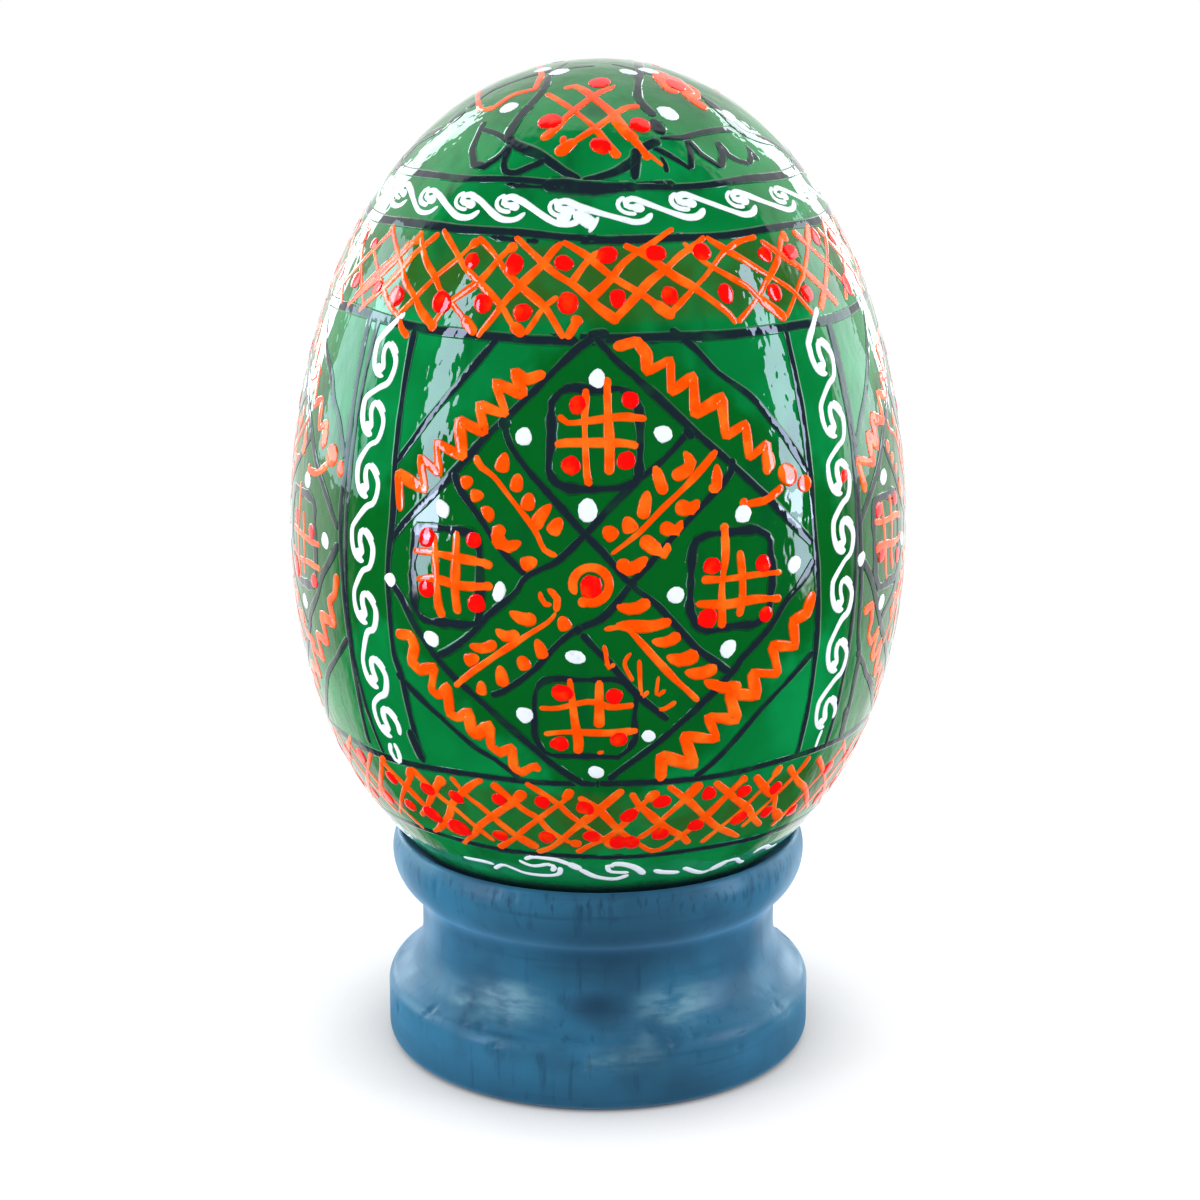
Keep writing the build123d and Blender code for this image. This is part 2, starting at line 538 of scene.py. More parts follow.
def stroke_tree():
    """Tree that gives each line of points the low rounded body of a brush stroke."""
    tree, given = new_tree(
        "brush_stroke",
        [
            ("Rise share", "NodeSocketFloat"),
            ("Most rise", "NodeSocketFloat"),
            ("Sink", "NodeSocketFloat"),
            ("Lump", "NodeSocketFloat"),
            ("Lump length", "NodeSocketFloat"),
            ("Sides", "NodeSocketInt"),
            *WAVE_SOCKETS,
            ("Material", "NodeSocketMaterial"),
        ],
    )
    lines = add(tree, "GeometryNodeMeshToCurve", {"Mesh": given["Geometry"]}).outputs[0]
    facing = add(
        tree,
        "GeometryNodeSetCurveNormal",
        {"Curve": lines, "Normal": named(tree, "skin_normal", "FLOAT_VECTOR")},
        mode="FREE",
    ).outputs[0]
    ring = add(tree, "GeometryNodeCurvePrimitiveCircle", {"Resolution": given["Sides"], "Radius": 1.0}).outputs[0]
    place = add(tree, "GeometryNodeInputPosition").outputs[0]
    parts = add(tree, "ShaderNodeSeparateXYZ", {0: place}).outputs
    ring = add(
        tree, "GeometryNodeStoreNamedAttribute", {"Geometry": ring, "Name": "rise", "Value": parts["X"]},
        data_type="FLOAT", domain="POINT",
    ).outputs[0]
    ring = add(
        tree, "GeometryNodeStoreNamedAttribute", {"Geometry": ring, "Name": "across", "Value": parts["Y"]},
        data_type="FLOAT", domain="POINT",
    ).outputs[0]
    flat = add(tree, "ShaderNodeCombineXYZ", {1: parts["Y"]}).outputs[0]
    ring = add(tree, "GeometryNodeSetPosition", {"Geometry": ring, "Position": flat}).outputs[0]
    body = add(
        tree,
        "GeometryNodeCurveToMesh",
        {"Curve": facing, "Profile Curve": ring, "Scale": named(tree, "half_width"), "Fill Caps": True},
    ).outputs[0]
    # The upper side rises with the stroke's width, the lower side sinks under the ground
    rise = named(tree, "rise")
    half = named(tree, "half_width")
    shared = add(tree, "ShaderNodeMath", {0: half, 1: given["Rise share"]}, operation="MULTIPLY").outputs[0]
    top = add(tree, "ShaderNodeMath", {0: shared, 1: given["Most rise"]}, operation="MINIMUM").outputs[0]
    noise = add(
        tree,
        "ShaderNodeTexNoise",
        {
            "Vector": place,
            "Scale": add(
                tree, "ShaderNodeMath", {0: 1.0, 1: given["Lump length"]}, operation="DIVIDE"
            ).outputs[0],
            "Detail": 1.0,
        },
    ).outputs[0]
    lump = add(tree, "ShaderNodeMath", {0: noise, 1: given["Lump"]}, operation="MULTIPLY").outputs[0]
    top = add(tree, "ShaderNodeMath", {0: top, 1: lump}, operation="SUBTRACT").outputs[0]
    above = add(tree, "ShaderNodeMath", {0: rise, 1: 0.0}, operation="MAXIMUM").outputs[0]
    # The root gives a broad flat top with short slopes at both edges
    above = add(tree, "ShaderNodeMath", {0: above, 1: 0.5}, operation="POWER").outputs[0]
    below = add(tree, "ShaderNodeMath", {0: rise, 1: 0.0}, operation="MINIMUM").outputs[0]
    up = add(tree, "ShaderNodeMath", {0: above, 1: top}, operation="MULTIPLY").outputs[0]
    down = add(tree, "ShaderNodeMath", {0: below, 1: given["Sink"]}, operation="MULTIPLY").outputs[0]
    moved = add(tree, "ShaderNodeMath", {0: up, 1: down}, operation="ADD").outputs[0]
    waves = lacquer_waves(tree, place, given)
    moved = add(tree, "ShaderNodeMath", {0: moved, 1: waves}, operation="ADD").outputs[0]
    offset = add(
        tree,
        "ShaderNodeVectorMath",
        {0: named(tree, "skin_normal", "FLOAT_VECTOR"), "Scale": moved},
        operation="SCALE",
    ).outputs[0]
    body = add(tree, "GeometryNodeSetPosition", {"Geometry": body, "Offset": offset}).outputs[0]
    end_tree(tree, body, given["Material"])
    return tree


def drop_tree():
    """Tree that sets a low round drop of paint on each point."""
    tree, given = new_tree(
        "paint_drop",
        [
            ("Rise share", "NodeSocketFloat"),
            ("Most rise", "NodeSocketFloat"),
            ("Lump", "NodeSocketFloat"),
            ("Lump length", "NodeSocketFloat"),
            *WAVE_SOCKETS,
            ("Material", "NodeSocketMaterial"),
        ],
    )
    drop = add(tree, "GeometryNodeMeshUVSphere", {"Segments": 12, "Rings": 6}).outputs[0]
    turned = add(
        tree,
        "FunctionNodeAlignRotationToVector",
        {"Vector": named(tree, "skin_normal", "FLOAT_VECTOR")},
        axis="Z",
    ).outputs[0]
    spin = add(tree, "FunctionNodeAxisAngleToRotation", {"Angle": named(tree, "turn")}).outputs[0]
    spun = add(
        tree, "FunctionNodeRotateRotation", {"Rotation": turned, "Rotate By": spin}, rotation_space="LOCAL"
    ).outputs[0]
    half = named(tree, "half_width")
    long = add(tree, "ShaderNodeMath", {0: half, 1: named(tree, "stretch")}, operation="MULTIPLY").outputs[0]
    shared = add(tree, "ShaderNodeMath", {0: half, 1: given["Rise share"]}, operation="MULTIPLY").outputs[0]
    top = add(tree, "ShaderNodeMath", {0: shared, 1: given["Most rise"]}, operation="MINIMUM").outputs[0]
    size = add(tree, "ShaderNodeCombineXYZ", {0: half, 1: long, 2: top}).outputs[0]
    drops = add(
        tree,
        "GeometryNodeInstanceOnPoints",
        {"Points": given["Geometry"], "Instance": drop, "Rotation": spun, "Scale": size},
    ).outputs[0]
    real = add(tree, "GeometryNodeRealizeInstances", {"Geometry": drops}).outputs[0]
    place = add(tree, "GeometryNodeInputPosition").outputs[0]
    often = add(tree, "ShaderNodeMath", {0: 1.0, 1: given["Lump length"]}, operation="DIVIDE").outputs[0]
    noise = add(tree, "ShaderNodeTexNoise", {"Vector": place, "Scale": often, "Detail": 1.0}).outputs[1]
    middle = add(tree, "ShaderNodeVectorMath", {0: noise, 1: (0.5, 0.5, 0.5)}, operation="SUBTRACT").outputs[0]
    # The drops' edges wander along the ground, and their tops stay level
    outwards = named(tree, "skin_normal", "FLOAT_VECTOR")
    level = add(tree, "ShaderNodeVectorMath", {0: middle, 1: outwards}, operation="PROJECT").outputs[0]
    along = add(tree, "ShaderNodeVectorMath", {0: middle, 1: level}, operation="SUBTRACT").outputs[0]
    offset = add(tree, "ShaderNodeVectorMath", {0: along, "Scale": given["Lump"]}, operation="SCALE").outputs[0]
    waves = lacquer_waves(tree, place, given)
    sunk = add(tree, "ShaderNodeVectorMath", {0: outwards, "Scale": waves}, operation="SCALE").outputs[0]
    offset = add(tree, "ShaderNodeVectorMath", {0: offset, 1: sunk}, operation="ADD").outputs[0]
    uneven = add(tree, "GeometryNodeSetPosition", {"Geometry": real, "Offset": offset}).outputs[0]
    end_tree(tree, uneven, given["Material"])
    return tree


TREES = {}


def tree_once(name, maker):
    """A tree by name, made the first time it is asked for."""
    if name not in TREES:
        TREES[name] = maker()
    return TREES[name]


def lay_strokes(work, name, material, rise_share=0.1, most_rise=0.024 * MM, sink=0.07 * MM, lump=0.004 * MM, sides=8):
    """Turns gathered lines into a finished piece of brushwork on the egg."""
    obj = work.points_object(name)
    grow(
        obj,
        tree_once("stroke", stroke_tree),
        {
            "Rise share": rise_share,
            "Most rise": most_rise,
            "Sink": sink,
            "Lump": lump,
            "Lump length": 0.8 * MM,
            "Sides": sides,
            **wave_values(),
            "Material": material,
        },
    )
    ride_on_egg(obj)


def lay_drops(work, name, material, rise_share=0.1, most_rise=0.052 * MM, lump=0.35 * MM):
    """Turns gathered drops into a finished piece on the egg."""
    obj = work.points_object(name)
    grow(
        obj,
        tree_once("drop", drop_tree),
        {
            "Rise share": rise_share,
            "Most rise": most_rise,
            "Lump": lump,
            "Lump length": 0.8 * MM,
            **wave_values(),
            "Material": material,
        },
    )
    ride_on_egg(obj)


def ride_on_egg(obj):
    """The piece moves with the egg."""
    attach(obj, "egg")


# Where the pattern runs, in degrees round from the front and drawing millimetres up

RING_LINES = ((68.2, 0.74), (65.0, 0.76), (58.7, 0.78), (27.4, 0.7), (20.7, 0.66))

INK_PATHS = (
    # Panel frame, left and right
    (0.66, ((-38.9, 58.6), (-38.6, 50), (-38.2, 46), (-39, 42.5), (-38.9, 39.5), (-38.5, 36), (-37.2, 34.3), (-36.6, 32), (-35.6, 27.6))),
    (0.66, ((39.9, 58.9), (40.1, 55), (40.5, 50), (40.6, 45.5), (41.2, 42), (41.7, 38), (41.8, 33), (41.8, 27.6))),
    # Outer diamond
    (0.62, ((-19.5, 58.6), (-23, 57), (-26, 55.6), (-31, 53.4), (-35, 51.3), (-38.5, 49.5))),
    (0.62, ((14.2, 59.2), (18.6, 57.9), (22.5, 56.3), (26.3, 55.25), (29.7, 54.2), (32.4, 52.9), (35.5, 51.5), (40.2, 48.8))),
    (0.62, ((-38.4, 34.5), (-34.9, 33.4), (-32.1, 32.5), (-29.3, 31.7), (-25.9, 30.6), (-23, 29.7), (-19.3, 28.9), (-15, 27.6))),
    (0.62, ((41.2, 35.9), (35.5, 34), (30.9, 32.45), (26.3, 30.4), (22.5, 28.8), (18.6, 27.5))),
    # Inner diamond
    (0.7, ((0, 59), (-3.75, 58), (-7.15, 56.9), (-12.25, 55), (-17.1, 53.2), (-20.75, 51.8), (-24.7, 50), (-29.3, 48.05), (-35.5, 45.6), (-39, 43.8))),
    (0.7, ((-0.5, 58.8), (3, 57.4), (6.8, 56.2), (10.6, 54.9), (17.5, 52.4), (21.7, 50.9), (29, 48.2), (34, 46.2), (40.3, 43.8))),
    (0.7, ((-39, 41.5), (-35.8, 40.1), (-32.4, 37.9), (-27, 35.4), (-20.8, 33.4), (-13.7, 30.85), (-8, 28.8), (-3, 27.4))),
    (0.7, ((40.8, 42.7), (37.4, 41.2), (33.9, 40), (30.9, 38.4), (25.5, 36.4), (23.6, 35.4), (15.6, 32.3), (9.8, 30.25), (4.1, 28.5), (2, 27.7))),
    # Edges of the crossed strips
    (0.64, ((-17, 53.2), (-15.9, 51.8), (-12.2, 50), (-7.7, 48.2), (-2.9, 46.1), (-0.9, 45.3), (1, 44.5), (5.6, 42.3), (9.8, 40.9), (12.5, 39.65), (17.1, 37.5), (20.2, 36.5), (23.6, 35.4))),
    (0.64, ((-25.9, 49.6), (-24.7, 48.5), (-20.8, 46.7), (-16.5, 44.5), (-12.3, 42.9))),
    (0.64, ((-2.8, 38.9), (-0.5, 37.8), (2.2, 36.7), (6.4, 34.5), (12.5, 32.3))),
    (0.64, ((16.7, 52.6), (11.4, 50.7), (7.2, 49.5), (2.2, 47.7), (-1, 46.3), (-6.6, 44), (-9.4, 43.4), (-12.3, 42.7), (-14.2, 41.5), (-19, 39.8), (-22.5, 38.2), (-27, 36.8), (-29, 36.5))),
    (0.64, ((24, 50.5), (23.6, 49.5), (18.6, 47.7), (12.5, 45.4), (7.5, 43.2), (6, 42.6), (1, 40.1), (-3.5, 39.2), (-7, 38), (-11.1, 36.1), (-16.5, 34.4), (-19, 34))),
    # Thick places where lines meet
    (0.95, ((-17.6, 53.4), (-16.4, 52.6))),
    (1.05, ((15.6, 52.7), (17.0, 52.0))),
    (0.9, ((4.9, 42.6), (6.6, 42.3))),
    (0.9, ((-4.1, 39.3), (-2.8, 39.0))),
    (0.95, ((-37.4, 30.2), (-35.6, 27.7))),
    (0.95, ((-2.0, 58.9), (2.2, 58.9))),
)

# Rounded black squares: left, right, low, high and the thickness of the line
INK_SQUARES = (
    (-8.6, 7.4, 48.9, 55.4, 0.74),
    (-33.5, -20.2, 38.9, 45.6, 0.78),
    (15.8, 31.0, 38.8, 45.5, 0.72),
    (-11.1, 6.4, 29.6, 35.6, 0.56),
)

# Uprights beside the white columns: the left column's outer line and the right column's outer line
COLUMN_LINES = (
    (0, ((-49.7, 58.9), (-50.3, 50), (-50.2, 43), (-50, 36), (-48.5, 31), (-46.8, 27.4))),
    (1, ((52.8, 58.9), (53, 50), (52.3, 43), (51.5, 36), (50.9, 30), (50.8, 27.4))),
    (2, ((132.5, 58.9), (132.1, 50), (132.8, 43), (132.4, 36), (133, 27.4))),
    (2, ((141.4, 58.9), (142, 50), (141.6, 43), (141.9, 36), (141, 27.4))),
)

ORANGE_HASHES = (
    # Top
    ((-2.2, 55.5), (-2.4, 53.5), (-2.2, 51.5), (-1.8, 49.5), (-1, 49.2)),
    ((1.6, 56.2), (1.8, 53.5), (2, 51.5), (1.9, 49.8)),
    ((-7.1, 53.7), (-5.4, 53.2), (-2.6, 53.3), (3.8, 53.6), (8.7, 53.45)),
    ((-7.7, 51.7), (-5.4, 51.9), (3.8, 51.9), (7.2, 51.65)),
    # Left
    ((-29.3, 45.2), (-28.8, 43), (-28.6, 41.5), (-28.2, 40), (-27.3, 39.3)),
    ((-24.8, 45.6), (-24.9, 43), (-25, 41.3), (-24.5, 39.7)),
    ((-33.6, 43.75), (-29, 43.8), (-24, 43.65), (-19.5, 43.5), (-18.3, 43.2)),
    ((-33, 41.75), (-29, 42), (-23.6, 41.75), (-18, 41.95)),
    # Right
    ((22, 46.2), (22.1, 44), (21.4, 41.8), (21.5, 38.8)),
    ((24.8, 44.2), (25.2, 42.6), (25.3, 41), (24.7, 39.5)),
    ((17.7, 42.4), (22.1, 42.3), (27.8, 42.35), (33.2, 42.25)),
    ((16.7, 40.75), (22.1, 40.5), (27.8, 40.6), (33.2, 40.35)),
    # Bottom
    ((-4.9, 35.7), (-4.5, 34.1), (-4, 32.1), (-3.5, 30.9), (-3.7, 29.8)),
    ((0.2, 35.6), (0.2, 33.75), (0.2, 31.9)),
    ((-10.3, 33.3), (-7.1, 33.35), (-3.7, 33.75), (-0.9, 33.9), (2.2, 33.5), (6.4, 33.6)),
    ((-9.7, 31.3), (-5.2, 31.55), (1.8, 31.5), (7.2, 31.65)),
    ((0.3, 30.1), (0.6, 29.8)),
)

# Red drops of a panel: degrees, height, radius
RED_DROPS = (
    (-3.7, 54.4, 0.6), (-4.7, 50.4, 0.66), (5.8, 54.7, 0.62), (4.9, 50.7, 0.66),
    (-30.7, 44.8, 0.62), (-21.6, 45, 0.6), (-30.7, 41.2, 0.6), (-21, 40.6, 0.66),
    (19.6, 43.3, 0.6), (29.4, 43, 0.62), (18.8, 39.65, 0.75), (30, 39.4, 0.6),
    (-6.2, 34.5, 0.62), (2.8, 34.3, 0.6), (-7, 30.6, 0.62), (3.7, 31, 0.62),
    (-1.2, 42.2, 0.82),
)

# White drops of a panel: degrees, height, radius, stretch, turn in degrees
WHITE_DROPS = (
    (-0.1, 56.1, 0.58, 1.15, 0), (-13.2, 52.2, 0.6, 1.0, 0), (11.6, 52.4, 0.62, 1.0, 0), (-1.8, 47.4, 0.65, 1.3, 0),
    (-27.7, 46.9, 0.55, 1.25, 0), (25.7, 46.65, 0.6, 1.1, 0), (-38.5, 41.35, 0.5, 1.1, 0), (-16.9, 41.6, 0.5, 1.5, -35),
    (13.2, 41.45, 0.6, 1.05, 80), (35.9, 42.6, 0.58, 1.1, 0), (-29.8, 37.6, 0.58, 1.1, 0), (-3.75, 37.2, 0.5, 1.45, 80),
    (22.8, 37.3, 0.6, 1.1, 0), (-13, 32.7, 0.58, 1.1, 0), (9, 31.15, 0.48, 1.0, 0), (-0.35, 28.35, 0.56, 1.0, 0),
)

ZIGZAGS = (
    ((-9.7, 56.35), (-13.4, 55.9), (-15.8, 56.4), (-13.7, 54.95), (-19.3, 55.65), (-16.6, 53.55), (-22, 54.1), (-20.5, 52.3), (-25.7, 52.95), (-24.3, 50.55), (-30, 51.35), (-28.8, 49.3), (-33.1, 50.2), (-31.5, 48.05), (-37.6, 48.85), (-36.6, 46.3)),
    ((2.9, 58.1), (7.5, 58.5), (9.2, 57.6), (9.1, 56.5), (13.7, 57.2), (13.5, 55.1), (17.9, 56.1), (17.7, 53.6), (23, 54.5), (23.2, 52), (27.4, 52.7), (27.5, 50.4), (31.5, 51.2), (30.9, 49.1)),
    ((-37.8, 37.45), (-34.4, 37.6), (-33.6, 36.8), (-34.6, 35.6), (-32.9, 35.1), (-29.7, 35.55), (-30.8, 33.75), (-29.3, 33.35), (-27.4, 34.3), (-27.4, 32.1), (-25.9, 31.9), (-23.6, 32.5), (-23.4, 31.1), (-22.5, 30.7), (-19.8, 31.65), (-19.9, 30), (-18.2, 29.5), (-15.8, 30.1), (-15.9, 28.4), (-14.5, 28.05), (-11.7, 28.75), (-11.1, 28.25)),
    ((40.4, 40.4), (38.9, 38.9), (35.9, 38.55), (36.8, 36.6), (31.6, 37), (33.4, 34.8), (27.8, 35.2), (29.2, 33.4), (23.6, 33.9), (25.5, 31.8), (19.8, 32.3), (22.1, 30.4), (15.6, 31), (18.1, 28.5), (11.7, 29.5), (11.9, 27.4)),
)

# Where the zigzags' paint ran together: width and path
ZIGZAG_BLOTS = (
    (1.1, ((31.2, 50.8), (31.6, 49.3))),
    (1.45, ((33.6, 49.5), (35.4, 48.9), (37.2, 48.4))),
    (1.25, ((38.9, 48.7), (39.2, 47.5))),
    (0.8, ((25.1, 47.5), (26.6, 47.3))),
    (0.6, ((26.2, 47.3), (30.5, 47.45), (34.2, 48.2))),
)

SPRAY_STEMS = (
    ((-21.9, 50.8), (-21, 50.1), (-18.2, 49.4), (-15.1, 48.05), (-12.25, 46.8), (-10.5, 45.85), (-9.1, 44.7), (-6.9, 44.3)),
    ((2.2, 44.45), (6.8, 45.85), (11.4, 47.6), (15.6, 49), (20.2, 50.7), (21.3, 51.2)),
    ((-7.1, 40.4), (-8.3, 39.7), (-12.2, 38.6), (-16.5, 37.35), (-19.6, 36.4), (-22.5, 35.5), (-25.9, 34.3)),
    ((1, 39.2), (4.5, 39.3), (7.2, 38.25), (9.8, 37), (13.3, 35.4), (15.6, 34.5), (17.9, 33.55)),
    ((-9.8, 41.8), (-9.3, 41), (-7.8, 40.9)),
    ((-8.5, 42), (-6.9, 41.4), (-7.1, 40.4)),
)

# Leaves from the tip to the fat end
SPRAY_LEAVES = (
    ((-16.4, 51.1), (-17.1, 49.75)), ((-13.9, 49.75), (-14.3, 48.5)), ((-11.7, 48.5), (-12.3, 47.3)),
    ((-8, 47.8), (-10.1, 46.8), (-10.5, 46)), ((-6.3, 46.9), (-8, 45.75)), ((-22.2, 49.15), (-24.4, 48.7)),
    ((-20, 48.15), (-22.5, 48)), ((-18.2, 47.2), (-19.9, 46.7)), ((-13.1, 45.15), (-16, 44.7), (-17.4, 45.6), (-15.9, 45.95)),
    ((-10.3, 43.95), (-13.1, 43.5)),
    ((9.8, 50.4), (11.4, 48.4)), ((8.5, 48.7), (7.5, 46.8)), ((4.7, 47), (5.8, 45.9)), ((1, 46.3), (3, 45.5)),
    ((15.2, 51.2), (16.3, 50.2), (12.9, 49.5)), ((21.1, 50.2), (20.9, 48.7), (19.4, 48.7)),
    ((17.5, 47.9), (16, 47.3), (13.3, 47.65)), ((14.4, 46.6), (13.3, 45.9), (10.6, 46.3)),
    ((11.9, 45.2), (11, 44.4), (7.3, 45.55)), ((8.3, 44.2), (5.6, 43.35), (3.3, 44)),
    ((-15.1, 40.25), (-12.5, 39.75), (-10.5, 39.95)), ((-17.6, 38.9), (-15.6, 38.4), (-13.4, 38.7)),
    ((-22.5, 37.55), (-19.9, 37.4), (-17.6, 37.95)), ((-20.8, 36.75), (-23.6, 36.3)), ((-6.3, 40.1), (-5.2, 39.1)),
    ((-10.5, 38.4), (-9.1, 37)), ((-13.4, 37.1), (-12.2, 36.1)), ((-17.1, 36.3), (-16.5, 34.7)), ((-20.6, 35), (-20.75, 33.9)),
    ((2.9, 40.9), (6, 40.6), (8.7, 41.2)), ((2.9, 39.5), (8.7, 39.35), (12.5, 39.7)), ((9.1, 38.3), (11.7, 38.15), (14, 38.7)),
    ((11.7, 37.15), (14.4, 36.75), (17.3, 37.2)), ((15, 35.9), (17.9, 35.65), (20.9, 36.05)), ((18.6, 35.1), (21.7, 34.5), (25.9, 34.2)),
)

# Thin hooked hairs beside the fourth spray
SPRAY_HAIRS = (
    ((1, 38.1), (1.8, 36.5), (2.9, 36.8)), ((5.6, 37.5), (4.5, 36.7), (6, 35.4)), ((7, 37), (7.5, 34.3), (8.7, 34.65)),
    ((10.4, 35.7), (10.2, 34.3), (11.7, 34.65)), ((10.2, 33.2), (11.7, 33.2), (13.7, 33.7)),
)

# The upper lattice's strokes on the front, falling to the right and then rising to the right
UPPER_LATTICE = (
    ((-61, 63), (-55, 61.6), (-50, 60.35), (-46.9, 59.6), (-44.1, 59.2), (-42.6, 58.5), (-40.1, 57.95)),
    ((-58, 64.8), (-50, 62.95), (-44.9, 61.4), (-41.1, 60.6), (-39, 59.9), (-35.7, 59.1), (-33.7, 58.7)),
    ((-46.2, 64.8), (-41.1, 63), (-37.2, 62.07), (-34.7, 61.2), (-31.6, 60.55), (-28.1, 59.7), (-24.5, 58.6)),
    ((-39.3, 65.1), (-34.2, 63.95), (-29.8, 62.8), (-25.5, 61.9), (-19.9, 60.55), (-17.3, 59.5), (-14.5, 58.7)),
    ((-28.6, 64.8), (-24, 63.9), (-19.4, 62.6), (-15.8, 61.75), (-11, 60.65), (-8.7, 59.7), (-6.6, 58.6)),
    ((-19.4, 65), (-14.3, 63.9), (-9.2, 62.75), (-5.4, 62.1), (-2.5, 61.4), (0, 60.65), (4.1, 59.7)),
    ((-8.2, 64.8), (-2.8, 63.95), (0, 63.3), (3.3, 62.5), (8.7, 61.5), (11.2, 60.9), (15.3, 59.9)),
    ((5.7, 64.6), (11, 63.8), (14.3, 63), (17.3, 62.3), (20.4, 61.7), (26.8, 60), (28.3, 59.2)),
    ((19.6, 64.6), (21.2, 64.1), (23.7, 63.3), (29.3, 62.2), (33.2, 61.4), (34.9, 60.75), (40.8, 59.1)),
    ((25.3, 64.9), (30.1, 63.9), (33.2, 63.3), (36.5, 62.6), (43.4, 61.2), (45.4, 60.65), (49.2, 59.1)),
    ((40.1, 64.3), (44.6, 63.3), (47.2, 62.75), (50, 62.1), (55, 60.7), (59, 59.3)),
    ((-58, 58.9), (-54, 60.1), (-50, 61.3), (-47.4, 62.3), (-45.4, 63.2), (-42.6, 64), (-39.8, 64.8)),
    ((-62, 59.6), (-56, 61.6), (-50, 63.3), (-48.5, 63.9), (-44.9, 64.1)),
    ((-44.5, 59.2), (-40.6, 60.65), (-36.7, 62.07), (-34.2, 62.8), (-32.1, 63.4), (-30.1, 64.1), (-28.3, 64.6)),
    ((-34.9, 58.9), (-32.1, 60.35), (-29.8, 61), (-25.5, 62.1), (-22.4, 63.4), (-20.7, 64), (-18.6, 64.5)),
    ((-24.2, 58.4), (-20.2, 60.35), (-18.6, 61.1), (-14.3, 62.6), (-12, 63.3), (-10.2, 64.1), (-8.2, 64.7)),
    ((-14.3, 58.8), (-12.8, 59.6), (-11, 60.55), (-8.2, 61.3)),
    ((-5.4, 62.2), (-3.6, 63.06), (-1.8, 63.7), (0, 64.1), (1.9, 64.2)),
    ((-6.1, 58.6), (-4.6, 59.5), (-3.8, 60.1)),
    ((-1.5, 61.2), (2.6, 62.4), (5.1, 63.3), (7.7, 63.9), (10.7, 64.4), (14, 64.9), (17.9, 65.5)),
    ((2.8, 59.7), (8.4, 61.5), (11.2, 62.3), (14.8, 63), (17.9, 63.7), (20.4, 64.1), (25.5, 64.9)),
    ((14.3, 60.1), (20.4, 61.7), (23, 62.3), (28.1, 63.6), (30.6, 64), (33.9, 64.4), (39.3, 64.6)),
    ((28.8, 59.3), (34.9, 60.75), (37.8, 61.6), (42.9, 62.85), (45.4, 63.7), (47.2, 64.3), (49.5, 64.4)),
    ((40.8, 59.2), (43.4, 60), (47.7, 61.3), (50, 61.8), (56, 63.6), (60, 64.8)),
)
# The lower lattice's, rising to the right and then falling
LOWER_LATTICE = (
    ((-57, 22.6), (-53, 24.3), (-50, 25.6), (-48.5, 26.6), (-46.9, 27.1)),
    ((-52, 21.6), (-49, 22.7), (-45.9, 23.96), (-43.4, 24.9), (-41.3, 25.7), (-39.8, 26.8)),
    ((-42.6, 22.4), (-39.8, 23.3), (-37.8, 24.06), (-35.7, 25), (-33.7, 25.9), (-31.6, 26.7)),
    ((-41.6, 21), (-38.5, 21.6), (-33.7, 23.1), (-31.6, 24.3), (-29.6, 25.1), (-25, 26.6), (-22.7, 27.1)),
    ((-33.2, 20.6), (-28.3, 21.9), (-26.5, 22.7), (-22.2, 23.96), (-19.6, 24.7), (-16.8, 25.5), (-14.3, 26.5)),
    ((-23.2, 20.9), (-18.4, 22.1), (-16.8, 22.7), (-14.3, 23.5), (-9.2, 25.1), (-6.6, 25.9), (-5.1, 26.9)),
    ((-14, 20.9), (-11.2, 21.35), (-8.9, 21.97), (-4.3, 23.6), (0, 25.1), (3.1, 26.25), (4.8, 26.9)),
    ((-4.8, 21.1), (-2, 21.8), (2.3, 22.7), (5.1, 23.75), (6.4, 24.5), (9.4, 25.8), (11.7, 26.6)),
    ((8.7, 22.4), (12, 23.4), (13.5, 24.2), (15.3, 24.9), (17.3, 25.7), (20.2, 27)),
    ((16.8, 21.9), (21.2, 23.3), (23.5, 24.2), (25.5, 25.1), (28.8, 26.5), (30.1, 26.9)),
    ((23.7, 21.35), (28.1, 22.9), (30.6, 23.6), (32.9, 24.6), (37, 26.25), (38.3, 27.2)),
    ((33.2, 22.2), (38.3, 23.96), (41.3, 25.1), (44.6, 26.25), (46.4, 27.2)),
    ((-49, 26.9), (-45.5, 25.6), (-42, 24.5), (-38, 22.9), (-34, 21.6)),
    ((-39.8, 26.9), (-35.7, 25.4), (-33.4, 24.7), (-31.6, 24.2), (-27, 22.6), (-23.7, 21.55)),
    ((-29.8, 26.9), (-27, 25.4), (-24.5, 24.7), (-20.7, 23.3), (-17.9, 22.4), (-13.5, 21.35)),
    ((-20.9, 26.9), (-16.8, 25.5), (-14.8, 24.8), (-12.2, 24.2), (-10.2, 23.1), (-6.1, 22.1), (-3.6, 21.9)),
    ((-14, 27.3), (-8.2, 25.7), (-6.1, 24.8), (-3.6, 23.96), (-1.5, 23.3), (1.5, 22.3), (4.5, 21.7)),
    ((-3.8, 26.25), (0, 25.2), (2.8, 23.96), (5.1, 23), (10.2, 21.55), (12.2, 21.1), (14.5, 21.25), (16.8, 21.97)),
    ((6.4, 26.6), (7.9, 25.6), (10.2, 24.7), (12.8, 23.75), (15.3, 23), (18.4, 22.3), (20.7, 21.45)),
    ((13.5, 27), (17.9, 25.6), (20.4, 24.7), (23, 23.75), (26, 22.8), (29.3, 22.1), (33.9, 21.2)),
    ((23, 26.9), (26.8, 25.7), (29.3, 24.9), (32.4, 24.06), (35.7, 22.8), (39.3, 21.8)),
    ((32.1, 26.8), (37, 25), (39.8, 24.3), (41.3, 23), (45.9, 21.7)),
    ((40.6, 26.9), (43.1, 25.9), (45.9, 25), (49.2, 24.2), (53, 22.8), (57, 21.6)),
)
